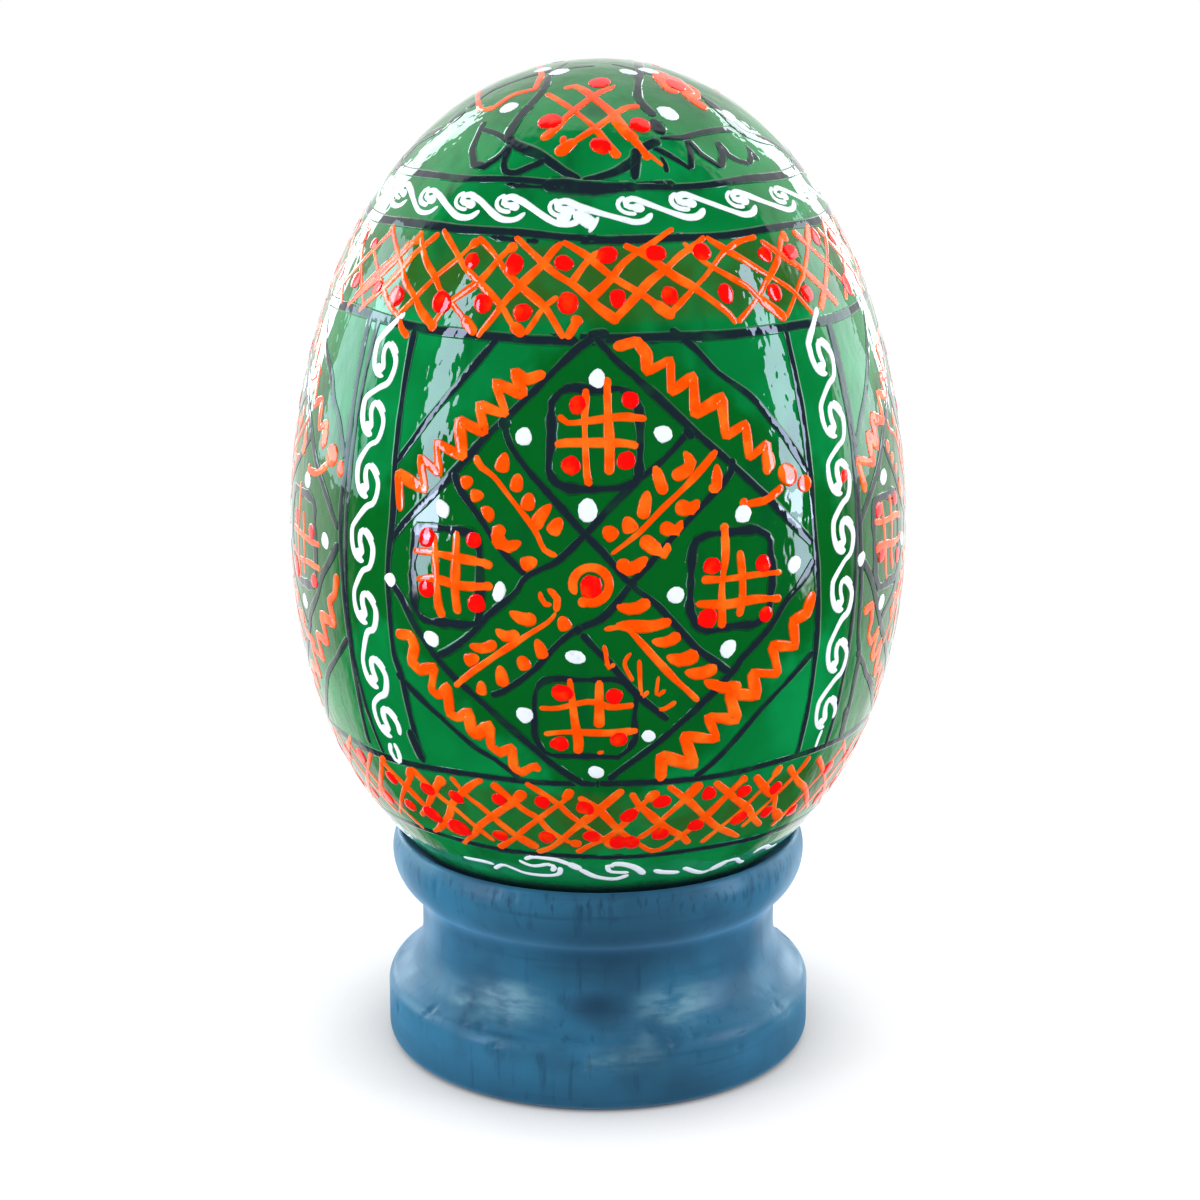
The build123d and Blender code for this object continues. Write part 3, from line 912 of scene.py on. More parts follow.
# Round the rest of the egg the strokes follow a rule: the band's low and high edge, degrees run for each
# millimetre of rise, the strokes' first and last low end, and how many there are
LATTICE_RULES = (
    (59.2, 64.8, 3.25, (52, 69), (297, 304), 23),
    (21.4, 26.9, 2.95, (43, 66.5), (292, 316), 28),
)
LATTICE_DROPS = (
    (-28.6, 63.3, 0.56), (-18.5, 63.2, 0.66), (-7.4, 63.4, 0.6), (1.9, 63.95, 0.68), (13, 64, 0.62), (23.6, 63.95, 0.68),
    (40.2, 63.4, 0.6), (48.2, 63.3, 0.64), (-46.4, 60.45, 0.8), (-33.7, 60.45, 0.8), (-24, 60.65, 0.7),
    (-15.3, 60.2, 0.66), (-6.1, 60.87, 0.76), (4, 61.2, 0.6), (14.9, 61.3, 0.62), (27.2, 61.2, 0.6), (39.5, 60.9, 0.66),
    (49, 60.55, 0.64), (-47.3, 25.3, 0.6), (-44.9, 23.1, 0.6), (-38.5, 22.9, 0.8), (-36.7, 25.3, 0.6), (-32.1, 22.2, 0.9),
    (-29.8, 25.1, 0.6), (-21.8, 22.2, 0.6), (-19.9, 25.6, 0.56), (-11, 25.7, 0.6), (-11, 22.5, 0.64), (-2.6, 25.3, 0.6),
    (-1.3, 22.7, 0.66), (4.4, 22.1, 0.66), (7.0, 22.1, 0.66), (6.3, 24.6, 0.6), (12.6, 25.7, 0.6), (13.4, 22.7, 0.64),
    (22.3, 26, 0.56), (21, 23.2, 0.64), (30.4, 25.6, 0.6), (31.6, 23.2, 0.64), (38.8, 25.2, 0.6), (39, 23.1, 0.6),
    (48.5, 22.3, 0.6),
)
# Rows of drops round the rest: height, first and last place, how many
LATTICE_DROP_ROWS = ((63.4, 60, 300, 23), (60.7, 65, 306, 23), (25.4, 55, 303, 28), (22.7, 59, 307, 28))

# Running scrolls go from heart to heart: a line leaves one heart by its hook and ends round the next in a
# curl. Shapes are in millimetres right of and above a heart, and those with a number first have that width.
COLUMN_HOOK = (
    (0.02, -0.68), (-0.1, -0.22), (-0.26, 0.3), (-0.24, 0.82), (0.04, 1.08), (0.42, 0.92), (0.82, 0.5),
    (1.08, 0.0), (1.02, -0.75), (0.7, -1.45), (0.0, -1.85),
)
COLUMN_CURL = ((-1.02, 1.35), (-1.18, 0.72), (-1.12, 0.0), (-0.84, -0.66), (-0.34, -1.02), (0.14, -1.08))
COLUMN_HEART = (
    (0.72, ((-0.62, -0.28), (-0.4, -0.6), (0.02, -0.66))),
    (0.2, ((0.24, 1.3), (0.74, 1.04), (1.1, 0.58))),
)
BAND_HOOK = (
    (0.62, -0.12), (0.2, 0.12), (-0.2, 0.16), (-0.46, 0.3), (-0.4, 0.56), (0.04, 0.68), (0.56, 0.52), (1.2, 0.28),
)
BAND_CURL = ((-0.7, -0.6), (0.05, -0.78), (0.75, -0.68), (1.25, -0.26))
BAND_HEART = (
    (0.36, ((-0.5, 0.78), (-0.98, 0.5), (-0.94, 0.08), (-0.5, -0.2), (0.2, -0.28))),
    (0.76, ((-0.04, 0.16), (0.42, 0.06), (0.6, -0.16))),
)
LEFT_COLUMN = ((-45, 56.2), (-45.5, 52.2), (-45, 47.9), (-45.5, 43.3), (-45, 38.8), (-44, 34), (-43, 30.2))
RIGHT_COLUMN = ((48.6, 56.2), (48.4, 51.9), (48.2, 47.9), (48.5, 43.8), (48.2, 39.5), (48.3, 34.9), (47.8, 30.5))
# Where the paint of a column's first line starts, and its loose end
COLUMN_ENDS = (
    (0.42, ((-42.6, 28.6), (-42.0, 27.9), (-42.3, 27.2), (-43.4, 27.1), (-44.3, 27.8), (-43.6, 28.5))),
    (0.36, ((47.8, 29.2), (47.3, 28.6), (47.2, 27.8))),
)
UPPER_SCROLLS = (
    (-48.5, 66.7), (-35.1, 66.7), (-22.7, 66.75), (-8.4, 66.6), (8.7, 66.75), (22.6, 66.9), (38.7, 66.8), (55, 66.7),
)
# Where the upper band's paint ran together: width and path
UPPER_BLOTS = (
    (1.5, ((-8.8, 66.6), (-7.6, 66.3), (-6.6, 66.2))),
    (1.0, ((-5.8, 66.6), (-3.4, 66.2), (-0.6, 65.7))),
    (1.25, ((-1.6, 65.9), (-0.4, 65.75))),
)
# The lower band of the front runs as one loose line: width and path
LOWER_SCROLL = (
    (0.45, ((-36.2, 18.95), (-30.1, 19.05), (-27, 18.95))),
    (0.42, ((-27.8, 18.4), (-24.5, 19.05), (-21.9, 18.84), (-19.4, 18.5), (-15.6, 18.4), (-11.7, 18.5), (-9.7, 18.8), (-9.2, 19.5))),
    (0.36, ((-11.5, 18.95), (-10.7, 19.5), (-12.2, 19.7), (-14.3, 19.5), (-16.1, 19.4), (-18.1, 19.6), (-19.1, 19.9))),
    (0.5, ((-17.6, 20), (-15.6, 20.36), (-11.7, 20.36), (-9.2, 20.2), (-6.6, 19.8))),
    (0.72, ((-7.4, 20), (-5.4, 19.6), (-4.1, 19.3))),
    (0.5, ((-4.6, 19.4), (-1.5, 18.7), (0, 18.5), (2.6, 18.3), (5.1, 18.3), (7.7, 18.7))),
    (0.4, ((3.8, 19.6), (2.3, 19.8), (2.8, 19.16), (5.1, 19), (7.7, 18.95))),
    (0.6, ((3.1, 19.9), (5.6, 19.9), (8.2, 19.6), (10.2, 19.16), (11.7, 18.6))),
    (0.62, ((14, 19.05), (15.8, 18.75), (17.9, 18.6), (21.4, 18.4))),
    (0.45, ((21.9, 18.9), (24.2, 18.5), (26.8, 18.1), (29.3, 17.9), (31.2, 18.1))),
    (0.9, ((30.6, 18.0), (33.2, 18.35), (35.7, 18.7))),
    (0.42, ((35, 18.65), (38.3, 18.6), (40.8, 18.1), (43.4, 17.8))),
    (0.5, ((44.4, 18.6), (45.9, 18.9), (48.5, 18.9), (52, 18.4), (56, 18.3))),
)

# The cap, in millimetres right of the crown and towards the front: width of the line and its path
CAP_INK = (
    (0.62, ((-2.2, 1), (-3.5, 4), (-3.9, 6.3), (-5.1, 8.4))),
    (0.9, ((-4.9, 8.1), (-6.2, 9.8), (-6.8, 11.1), (-6.2, 12.3), (-4.5, 13.8), (-2.9, 15.4), (-1.4, 16.5))),
    (0.8, ((2.9, 0.2), (3, 3.5), (2.9, 6.5), (3.0, 8.4), (4.2, 10.0))),
    (1.2, ((4.0, 10.3), (4.9, 11.7))),
    (0.9, ((4.7, 12.3), (3.9, 13.0), (3.1, 13.9), (2.6, 14.8), (1.4, 15.8), (-0.2, 16.4), (-1.4, 16.6))),
    (0.8, ((2.9, 13.5), (2.85, 16.3))),
    (1.3, ((-4.4, 16.4), (-2, 17.0), (0.5, 17.2), (3.2, 16.8))),
)
CAP_ZIGZAGS = (
    (0.62, ((-8.6, 7.9), (-9.8, 10.4), (-9.8, 12.2), (-8.9, 13), (-7.6, 12.7), (-6.8, 11.9))),
    (0.62, ((-8.9, 8.8), (-7.6, 10.4), (-6.6, 11.9))),
    (0.75, ((-6.8, 11.9), (-7.4, 13.5), (-7.3, 14.4), (-6.4, 14.8), (-4.9, 14.6), (-4, 14.3))),
    (0.55, ((4.1, 13.1), (7.3, 14.1), (7.15, 12.4), (6.8, 11.4))),
    (0.62, ((6.8, 11.4), (8, 12.3), (9.7, 12.6), (9.8, 11), (9.2, 10.1), (10.2, 10.9), (11.2, 10.8), (12.1, 10.3))),
    (0.6, ((12.1, 10.3), (12.2, 9), (11.7, 8.4), (12.9, 9.1))),
    (0.62, ((4.7, 12.1), (6.4, 11.4), (8.4, 9.5), (10.4, 7.4))),
    (0.4, ((5.4, 15.1), (5.2, 14.3), (4.8, 13.8))),
)
CAP_HASH = (
    (0.5, ((-3.8, 7.2), (-2.1, 9.5), (-0.2, 11.9))),
    (0.62, ((-0.4, 11.6), (0.7, 13.4), (1.6, 14.6))),
    (0.66, ((-2.4, 7.1), (-1.8, 6.7), (-0.9, 7.6), (-0.1, 8.8), (1, 10.2), (1.9, 11.8))),
    (1.05, ((1.1, 10.6), (2.0, 12.0), (2.9, 12.9))),
    (0.62, ((2.6, 12.7), (3.4, 13.6), (3.9, 14.4))),
    (0.3, ((3.7, 13.7), (4.4, 14.2), (5.1, 14.6))),
    (0.62, ((1.1, 7), (0.0, 7.9), (-1.3, 9.4), (-2.4, 10.6), (-3.4, 11.8))),
    (0.95, ((-2.9, 11.2), (-3.6, 11.9), (-4.3, 12.4))),
    (0.62, ((3.1, 9.1), (2, 9.6), (1, 10.7), (-0.2, 11.9), (-1.8, 13.1))),
    (1.05, ((-1.6, 12.9), (-2.6, 13.6), (-3.1, 14.2))),
    (0.5, ((-2.6, 12.4), (-2.7, 13.2))),
    (0.8, ((0.9, 7.0), (1.2, 7.1))),
)
# The cells at the left and at the right hold loose orange shapes instead of a grid
CAP_SIDES = (
    (0.55, ((-9.1, 0), (-9.1, 3.7), (-8.9, 5.9), (-7.8, 6.7), (-6.3, 5.8), (-4.6, 6.1), (-4.1, 3.7), (-4.3, 0.3))),
    (1.7, ((4.4, 2.0), (4.9, 4.4), (5.6, 6.2))),
    (2.3, ((5.2, 2.6), (6.0, 4.2), (6.4, 5.6))),
    (1.0, ((6.4, 5.6), (7.6, 6.4), (8.3, 6.3))),
    (0.55, ((6.2, 5.9), (7.4, 5.2), (7.4, 3.8), (6.6, 3.3))),
)
CAP_RED = ((0.1, 6.4, 0.76), (-3.6, 10.7, 0.78), (3.1, 11.2, 0.72), (0.2, 13.6, 0.72))
CAP_WHITE = ((-2.8, 3.7, 0.66), (2.2, 4, 0.56), (-6.6, 7.6, 0.6), (5.2, 9.2, 0.7), (10, 5.6, 0.62))


def panel_copies(seed):
    """For each of the four panels, a function that moves a spot of the front one there."""
    chance = random.Random(seed)
    edges = COLUMN_PLACES + (COLUMN_PLACES[0] + 360,)
    copies = [lambda spot: (spot[0], spot[1])]
    for left, right in zip(edges[1:], edges[2:]):
        centre = (left + right) / 2
        share = (right - left) / PANEL_WIDTH
        lean = chance.uniform(-0.03, 0.03)
        phase = chance.uniform(0, 6.28)

        def move(spot, centre=centre, share=share, lean=lean, phase=phase):
            along = spot[0] - PANEL_CENTRE
            sway = 0.5 * math.sin(spot[1] * 0.35 + phase) + lean * (spot[1] - 42)
            bob = 0.22 * math.sin(along * 0.12 + phase)
            return centre + along * share + sway, spot[1] + bob

        copies.append(move)
    return copies


def hand(work, path, amount):
    """The path as a hand draws it again, each spot a little off."""
    return [
        (x + work.chance.gauss(0, amount / 0.39), y + work.chance.gauss(0, amount))
        for x, y in path
    ]


def each_panel(work, paths, seed, amount=0.1):
    """Gives each path on each panel. The copies are drawn a little off."""
    for number, move in enumerate(panel_copies(seed)):
        for path in paths:
            spots = [move(spot) for spot in path]
            yield spots if number == 0 else hand(work, spots, amount)


PANEL_SEED = 7


def new_material(name):
    """A material with an empty tree but for its shader and output."""
    material = bpy.data.materials.new(name)
    material.use_nodes = True
    tree = material.node_tree
    tree.nodes.clear()
    shader = add(tree, "ShaderNodeBsdfPrincipled")
    add(tree, "ShaderNodeOutputMaterial", {"Surface": shader.outputs[0]})
    return material, tree, shader


def object_noise(tree, length, detail=2.0, stretch=(1.0, 1.0, 1.0), roughness=0.5):
    """Noise on the piece's own coordinates whose spots are a length apart."""
    place = add(tree, "ShaderNodeTexCoord").outputs["Object"]
    drawn = add(tree, "ShaderNodeMapping", {"Vector": place, "Scale": stretch}).outputs[0]
    return add(
        tree,
        "ShaderNodeTexNoise",
        {"Vector": drawn, "Scale": 1 / length, "Detail": detail, "Roughness": roughness},
    ).outputs[0]


def ramp(tree, value, low, high, start=0.0, end=1.0):
    """A value mapped smoothly from one range to another."""
    return add(
        tree,
        "ShaderNodeMapRange",
        {"Value": value, "From Min": low, "From Max": high, "To Min": start, "To Max": end},
        interpolation_type="SMOOTHSTEP",
    ).outputs[0]


def blend(tree, share, first, second):
    """Two colours mixed by a share."""
    return add(
        tree, "ShaderNodeMix", {0: share, 6: first, 7: second}, data_type="RGBA"
    ).outputs[2]


def diamond_share(tree):
    """1 inside the panels' outer diamonds and 0 outside, from the place on the egg."""
    parts = add(
        tree, "ShaderNodeSeparateXYZ", {0: add(tree, "ShaderNodeTexCoord").outputs["Object"]}
    ).outputs
    back = add(tree, "ShaderNodeMath", {0: parts["Y"], 1: -1.0}, operation="MULTIPLY").outputs[0]
    turn = add(tree, "ShaderNodeMath", {0: parts["X"], 1: back}, operation="ARCTAN2").outputs[0]
    quarter = add(
        tree, "ShaderNodeMath", {0: turn, 1: 2 / math.pi, 2: 0.5 - PANEL_CENTRE / 90}, operation="MULTIPLY_ADD"
    ).outputs[0]
    inside = add(tree, "ShaderNodeMath", {0: quarter}, operation="FRACT").outputs[0]
    off = add(tree, "ShaderNodeMath", {0: inside, 1: 0.5}, operation="SUBTRACT").outputs[0]
    off = add(tree, "ShaderNodeMath", {0: off}, operation="ABSOLUTE").outputs[0]
    off = add(tree, "ShaderNodeMath", {0: off, 1: 90 / DIAMOND_HALF_WIDTH}, operation="MULTIPLY").outputs[0]
    scale = (EGG_HIGH[2] - EGG_LOW[2]) / DRAWING_HEIGHT
    level = EGG_LOW[2] + (DIAMOND_LEVEL - DRAWING_BASE) * scale
    up = add(tree, "ShaderNodeMath", {0: parts["Z"], 1: level}, operation="SUBTRACT").outputs[0]
    up = add(tree, "ShaderNodeMath", {0: up}, operation="ABSOLUTE").outputs[0]
    up = add(tree, "ShaderNodeMath", {0: up, 1: 1 / (DIAMOND_HALF_HEIGHT * scale)}, operation="MULTIPLY").outputs[0]
    both = add(tree, "ShaderNodeMath", {0: off, 1: up}, operation="ADD").outputs[0]
    ragged = ramp(tree, object_noise(tree, 2.4 * MM), 0.3, 0.7, -0.06, 0.06)
    both = add(tree, "ShaderNodeMath", {0: both, 1: ragged}, operation="ADD").outputs[0]
    return ramp(tree, both, 0.92, 1.08, 1.0, 0.0)


def green_ground(tree, colours):
    """Colour of the egg's ground at a place: brushed green, browner in the diamonds, olive under the lattices, and
    painted shade just over the stand's rim.
    """
    cloud = object_noise(tree, 7 * MM, 3.0)
    streak = object_noise(tree, 2.6 * MM, 2.0, (1.0, 1.0, 0.3))
    green = blend(tree, ramp(tree, cloud, 0.42, 0.72), tuple(colours.green), tuple(colours.green_light))
    brown = add(tree, "ShaderNodeMath", {0: diamond_share(tree), 1: 0.85}, operation="MULTIPLY").outputs[0]
    green = blend(tree, brown, green, tuple(colours.green_inner))
    green = blend(tree, ramp(tree, streak, 0.52, 0.78, 0.0, 0.75), green, tuple(colours.green_dark))
    height = add(
        tree, "ShaderNodeSeparateXYZ", {0: add(tree, "ShaderNodeTexCoord").outputs["Object"]}
    ).outputs["Z"]
    scale = (EGG_HIGH[2] - EGG_LOW[2]) / (DRAWING_HEIGHT * MM)
    share = 0.0
    for low, high in ((59.4, 64.6), (21.2, 26.8)):
        bottom = EGG_LOW[2] + (low - DRAWING_BASE) * MM * scale
        top = EGG_LOW[2] + (high - DRAWING_BASE) * MM * scale
        rise = ramp(tree, height, bottom - 0.2 * MM, bottom + 0.8 * MM)
        fall = ramp(tree, height, top - 0.8 * MM, top + 0.2 * MM, 1.0, 0.0)
        band = add(tree, "ShaderNodeMath", {0: rise, 1: fall}, operation="MULTIPLY").outputs[0]
        share = add(tree, "ShaderNodeMath", {0: band, 1: share}, operation="ADD").outputs[0]
    patch = ramp(tree, object_noise(tree, 3 * MM), 0.3, 0.65, 0.25, 0.95)
    share = add(tree, "ShaderNodeMath", {0: share, 1: patch}, operation="MULTIPLY").outputs[0]
    green = blend(tree, share, green, tuple(colours.olive))
    # Painted shade: the ground turns almost to ink just over the stand's rim, where the ring shades the egg
    rim = STAND_HIGH[2]
    rise = ramp(tree, height, rim - 1.4 * MM, rim - 0.4 * MM)
    fall = ramp(tree, height, rim, rim + 1.1 * MM, 0.85, 0.0)
    painted_rim_shade = add(tree, "ShaderNodeMath", {0: rise, 1: fall}, operation="MULTIPLY").outputs[0]
    return blend(tree, painted_rim_shade, green, tuple(colours.ink))


def varnish(tree, shader):
    """Clear spirit lacquer over the paint: it fills the paint's own surface, so the lacquer alone shines,
    hard and smooth, and the runs and brush waves in it tear the lamps' reflections into ragged streaks."""
    runs = object_noise(tree, 1.9 * MM, 2.5, (1.0, 1.0, 0.55), 0.5)
    waves = add(tree, "ShaderNodeBump", {"Height": runs, "Strength": 1.0, "Distance": 0.095 * MM}).outputs[0]
    tree.links.new(waves, shader.inputs["Coat Normal"])
    shader.inputs["Roughness"].default_value = 0.45
    shader.inputs["Specular IOR Level"].default_value = 0.0
    shader.inputs["Coat Weight"].default_value = 1.0
    shader.inputs["Coat Roughness"].default_value = 0.02
    shader.inputs["Coat IOR"].default_value = 1.5


def green_paint(colours):
    """Brushed green tempera under lacquer: cloudy where it is thick and thin, deep in colour."""
    material, tree, shader = new_material("green_tempera_under_lacquer")
    tree.links.new(green_ground(tree, colours), shader.inputs["Base Color"])
    varnish(tree, shader)
    return material


def ink_paint(colours):
    """Drawing ink under lacquer: near black, and it bleeds a little into the green along both edges."""
    material, tree, shader = new_material("black_ink_under_lacquer")
    across = add(tree, "ShaderNodeAttribute", attribute_name="across").outputs["Fac"]
    off = add(tree, "ShaderNodeMath", {0: across}, operation="ABSOLUTE").outputs[0]
    ragged = add(
        tree,
        "ShaderNodeMath",
        {0: object_noise(tree, 0.9 * MM, 3.0), 1: 0.5, 2: -0.25},
        operation="MULTIPLY_ADD",
    ).outputs[0]
    edge = add(tree, "ShaderNodeMath", {0: off, 1: ragged}, operation="ADD").outputs[0]
    thin = ramp(tree, object_noise(tree, 2.2 * MM), 0.55, 0.8, 0.0, 0.25)
    bleed = add(
        tree, "ShaderNodeMath", {0: ramp(tree, edge, 0.5, 1.04), 1: thin}, operation="MAXIMUM"
    ).outputs[0]
    colour = blend(tree, bleed, tuple(colours.ink), green_ground(tree, colours))
    tree.links.new(colour, shader.inputs["Base Color"])
    varnish(tree, shader)
    return material


def orange_paint(colours):
    """Orange tempera laid in single strokes under lacquer: lighter where it is thick, browner where it is thin."""
    material, tree, shader = new_material("orange_tempera_under_lacquer")
    spots = object_noise(tree, 1.6 * MM, 3.0)
    colour = blend(tree, ramp(tree, spots, 0.4, 0.7), tuple(colours.orange), tuple(colours.orange_light))
    thin = ramp(tree, object_noise(tree, 1.1 * MM, 2.0), 0.6, 0.85, 0.0, 0.22)
    colour = blend(tree, thin, colour, tuple(colours.olive))
    tree.links.new(colour, shader.inputs["Base Color"])
    varnish(tree, shader)
    return material


def red_paint(colours):
    """Red tempera drops under lacquer: full, even colour."""
    material, tree, shader = new_material("red_tempera_under_lacquer")
    spots = ramp(tree, object_noise(tree, 1.2 * MM), 0.5, 0.8, 0.0, 0.5)
    tree.links.new(blend(tree, spots, tuple(colours.red), tuple(colours.orange)), shader.inputs["Base Color"])
    varnish(tree, shader)
    return material


def white_paint(colours):
    """White tempera under lacquer: opaque, with faint brush hairs of grey green."""
    material, tree, shader = new_material("white_tempera_under_lacquer")
    thin = ramp(tree, object_noise(tree, 0.7 * MM, 3.0), 0.6, 0.85, 0.0, 0.35)
    tree.links.new(blend(tree, thin, tuple(colours.white), tuple(colours.green_light)), shader.inputs["Base Color"])
    varnish(tree, shader)
    return material


def blue_paint(colours):
    """Satin water paint brushed on turned wood: a soft sheen, with the turner's rings and grain showing through, and
    painted shade and highlights at the front.
    """
    material, tree, shader = new_material("blue_satin_paint_on_wood")
    cloud = object_noise(tree, 6 * MM, 3.0)
    rings = object_noise(tree, 0.55 * MM, 2.0, (0.05, 0.05, 1.0))
    grain = object_noise(tree, 0.7 * MM, 3.0, (1.0, 1.0, 0.12))
    colour = blend(tree, ramp(tree, cloud, 0.35, 0.75, 0.0, 0.6), tuple(colours.blue), tuple(colours.blue_dark))
    colour = blend(tree, ramp(tree, grain, 0.58, 0.75, 0.0, 0.55), colour, tuple(colours.blue_dark))
    colour = blend(tree, ramp(tree, rings, 0.55, 0.8, 0.0, 0.4), colour, tuple(colours.blue_dark))
    height = add(
        tree, "ShaderNodeSeparateXYZ", {0: add(tree, "ShaderNodeTexCoord").outputs["Object"]}
    ).outputs["Z"]

    def band(low, high, soft):
        rise = ramp(tree, height, low - soft, low + soft)
        fall = ramp(tree, height, high - soft, high + soft, 1.0, 0.0)
        return add(tree, "ShaderNodeMath", {0: rise, 1: fall}, operation="MULTIPLY").outputs[0]

    def within(value, place):
        return add(tree, "ShaderNodeMath", {0: value, 1: place}, operation="MULTIPLY").outputs[0]

    spot = add(tree, "ShaderNodeTexCoord").outputs["Object"]

    def patch_round(turn, radius, level, reach):
        middle = Vector(round_the_egg(turn, radius, level))
        off = add(tree, "ShaderNodeVectorMath", {0: spot, 1: middle}, operation="SUBTRACT").outputs[0]
        off = add(tree, "ShaderNodeVectorMath", {0: off, 1: (1.0, 1.0, 2.0)}, operation="MULTIPLY").outputs[0]
        far = add(tree, "ShaderNodeVectorMath", {0: off}, operation="LENGTH").outputs["Value"]
        return ramp(tree, far, 0.0, reach, 1.0, 0.0)

    # The shoulder is pale in places: rubbed wear here and there round it, and two painted highlights at the front,
    # where the side lamps' sheen falls
    streaks = ramp(tree, object_noise(tree, 1.1 * MM, 3.0, (0.5, 0.5, 1.6)), 0.25, 0.75, 0.0, 0.8)
    rubbed = within(ramp(tree, object_noise(tree, 5 * MM, 2.0), 0.5, 0.75), band(3.9 * MM, 6.8 * MM, 1.2 * MM))
    # These two patches at the front are painted highlights
    for turn, reach in ((-28, 4.4 * MM), (24, 4.4 * MM)):
        patch = patch_round(turn, STAND_HIGH[0] - 2.2 * MM, 7.1 * MM, reach)
        rubbed = add(tree, "ShaderNodeMath", {0: rubbed, 1: patch}, operation="MAXIMUM").outputs[0]
    colour = blend(tree, within(rubbed, streaks), colour, tuple(colours.blue_wear_and_highlight))
    # Painted shade and painted dark reflection: darker at the front of the neck and below it
    thick = patch_round(3, STAND_HIGH[0] - 2.6 * MM, 12.4 * MM, 11 * MM)
    low = patch_round(0, STAND_HIGH[0] - 2.2 * MM, 7.4 * MM, 3.6 * MM)
    thick = add(tree, "ShaderNodeMath", {0: thick, 1: low}, operation="MAXIMUM").outputs[0]
    colour = blend(tree, within(thick, 0.95), colour, tuple(colours.blue_dark))
    # Painted shade: darker towards the foot
    foot = ramp(tree, height, 0.3 * MM, 3.4 * MM, 0.5, 0.0)
    colour = blend(tree, foot, colour, tuple(colours.blue_dark))
    # Torn grain stands dark under the rim
    rim = STAND_HIGH[2]
    torn = ramp(tree, object_noise(tree, 0.42 * MM, 1.0, (1.0, 1.0, 0.26)), 0.57, 0.66, 0.0, 0.6)
    torn = within(torn, band(rim - 1.9 * MM, rim - 0.35 * MM, 0.3 * MM))
    colour = blend(tree, torn, colour, tuple(colours.blue_dark))
    tree.links.new(colour, shader.inputs["Base Color"])
    tree.links.new(ramp(tree, cloud, 0.3, 0.7, 0.3, 0.4), shader.inputs["Roughness"])
    shader.inputs["Specular IOR Level"].default_value = 0.25
    shader.inputs["Sheen Weight"].default_value = 0.6
    shader.inputs["Sheen Roughness"].default_value = 0.45
    shader.inputs["Sheen Tint"].default_value = tuple(colours.blue_sheen)
    bump = add(tree, "ShaderNodeBump", {"Height": rings, "Strength": 0.25, "Distance": 0.03 * MM})
    bump = add(
        tree, "ShaderNodeBump", {"Height": grain, "Strength": 0.3, "Distance": 0.03 * MM, "Normal": bump.outputs[0]}
    )
    tree.links.new(bump.outputs[0], shader.inputs["Normal"])
    return material


PAINTS = {}


def paint(name, maker, context):
    """A paint by name, mixed the first time it is asked for."""
    if name not in PAINTS:
        PAINTS[name] = maker(context.scene.egg_colours)
    return PAINTS[name]


class EggGround(bpy.types.Operator):
    """Makes the green lacquered body of the egg."""

    bl_idname = "painted_egg.ground"
    bl_label = "Egg ground"

    def execute(self, context):
        sizes = context.scene.egg_sizes
        skin = Skin(sizes)
        egg = grow(
            empty_object("egg_ground"),
            tree_once("skin", skin_tree),
            {
                "Radius": skin.radius,
                "Height": skin.height,
                "Base": skin.base,
                **wave_values(),
                "Segments": 288,
                "Rings": 208,
                "Material": paint("green", green_paint, context),
            },
        )
        ride_on_egg(egg)
        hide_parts("egg")
        return {"FINISHED"}


class EggInk(bpy.types.Operator):
    """Draws the black outlines of bands, panels, diamonds and squares."""

    bl_idname = "painted_egg.ink"
    bl_label = "Ink outlines"

    def execute(self, context):
        work = Brushwork(Skin(context.scene.egg_sizes), 11)
        chance = work.chance
        for height, width in RING_LINES:
            phases = [chance.uniform(0, 6.28) for _ in range(3)]
            path = []
            for i in range(90):
                turn = math.tau * i / 90
                wave = 0.16 * math.sin(2 * turn + phases[0]) + 0.1 * math.sin(5 * turn + phases[1])
                wave += 0.05 * math.sin(11 * turn + phases[2])
                path.append((math.degrees(turn), height + wave))
            work.stroke(path, width, closed=True, uneven=0.08)
        copies = panel_copies(PANEL_SEED)
        for number, move in enumerate(copies):
            for width, path in INK_PATHS:
                spots = [move(spot) for spot in path]
                if number:
                    spots = hand(work, spots, 0.07)
                work.stroke(spots, width, uneven=0.12, step=0.6)
            for left, right, low, high, width in INK_SQUARES:
                middle, level = (left + right) / 2, (low + high) / 2
                path = []
                for i in range(28):
                    turn = math.tau * i / 28
                    x = math.copysign(abs(math.cos(turn)) ** 0.42, math.cos(turn))
                    y = math.copysign(abs(math.sin(turn)) ** 0.42, math.sin(turn))
                    path.append(move((middle + (right - left) / 2 * x, level + (high - low) / 2 * y)))
                work.stroke(hand(work, path, 0.06), width, closed=True, uneven=0.22)
        for _, path in COLUMN_LINES:
            work.stroke(path, 0.54, uneven=0.12)
        work.stroke([(x + 271, z) for x, z in COLUMN_LINES[0][1]], 0.54, uneven=0.12)
        # Cap: four cells round the crown, with black arcs and zigzags between them
        for quarter in range(4):
            turn = math.radians(90 * quarter)
            s, k = math.sin(turn), math.cos(turn)

            def spun(path):
                return [(x * k + y * s, -x * s + y * k) for x, y in path]

            for width, path in CAP_INK:
                work.stroke(spun(path), width, chart=work.skin.cap, uneven=0.14)
            for width, path in CAP_ZIGZAGS if quarter % 2 == 0 else ():
                work.stroke(spun(path), width * 1.08, chart=work.skin.cap, uneven=0.14, straight=True)
        lay_strokes(
            work, "egg_ink_outlines", paint("ink", ink_paint, context),
            rise_share=0.08, most_rise=0.015 * MM, sink=0.07 * MM, lump=0.002 * MM, sides=8,
        )
        return {"FINISHED"}


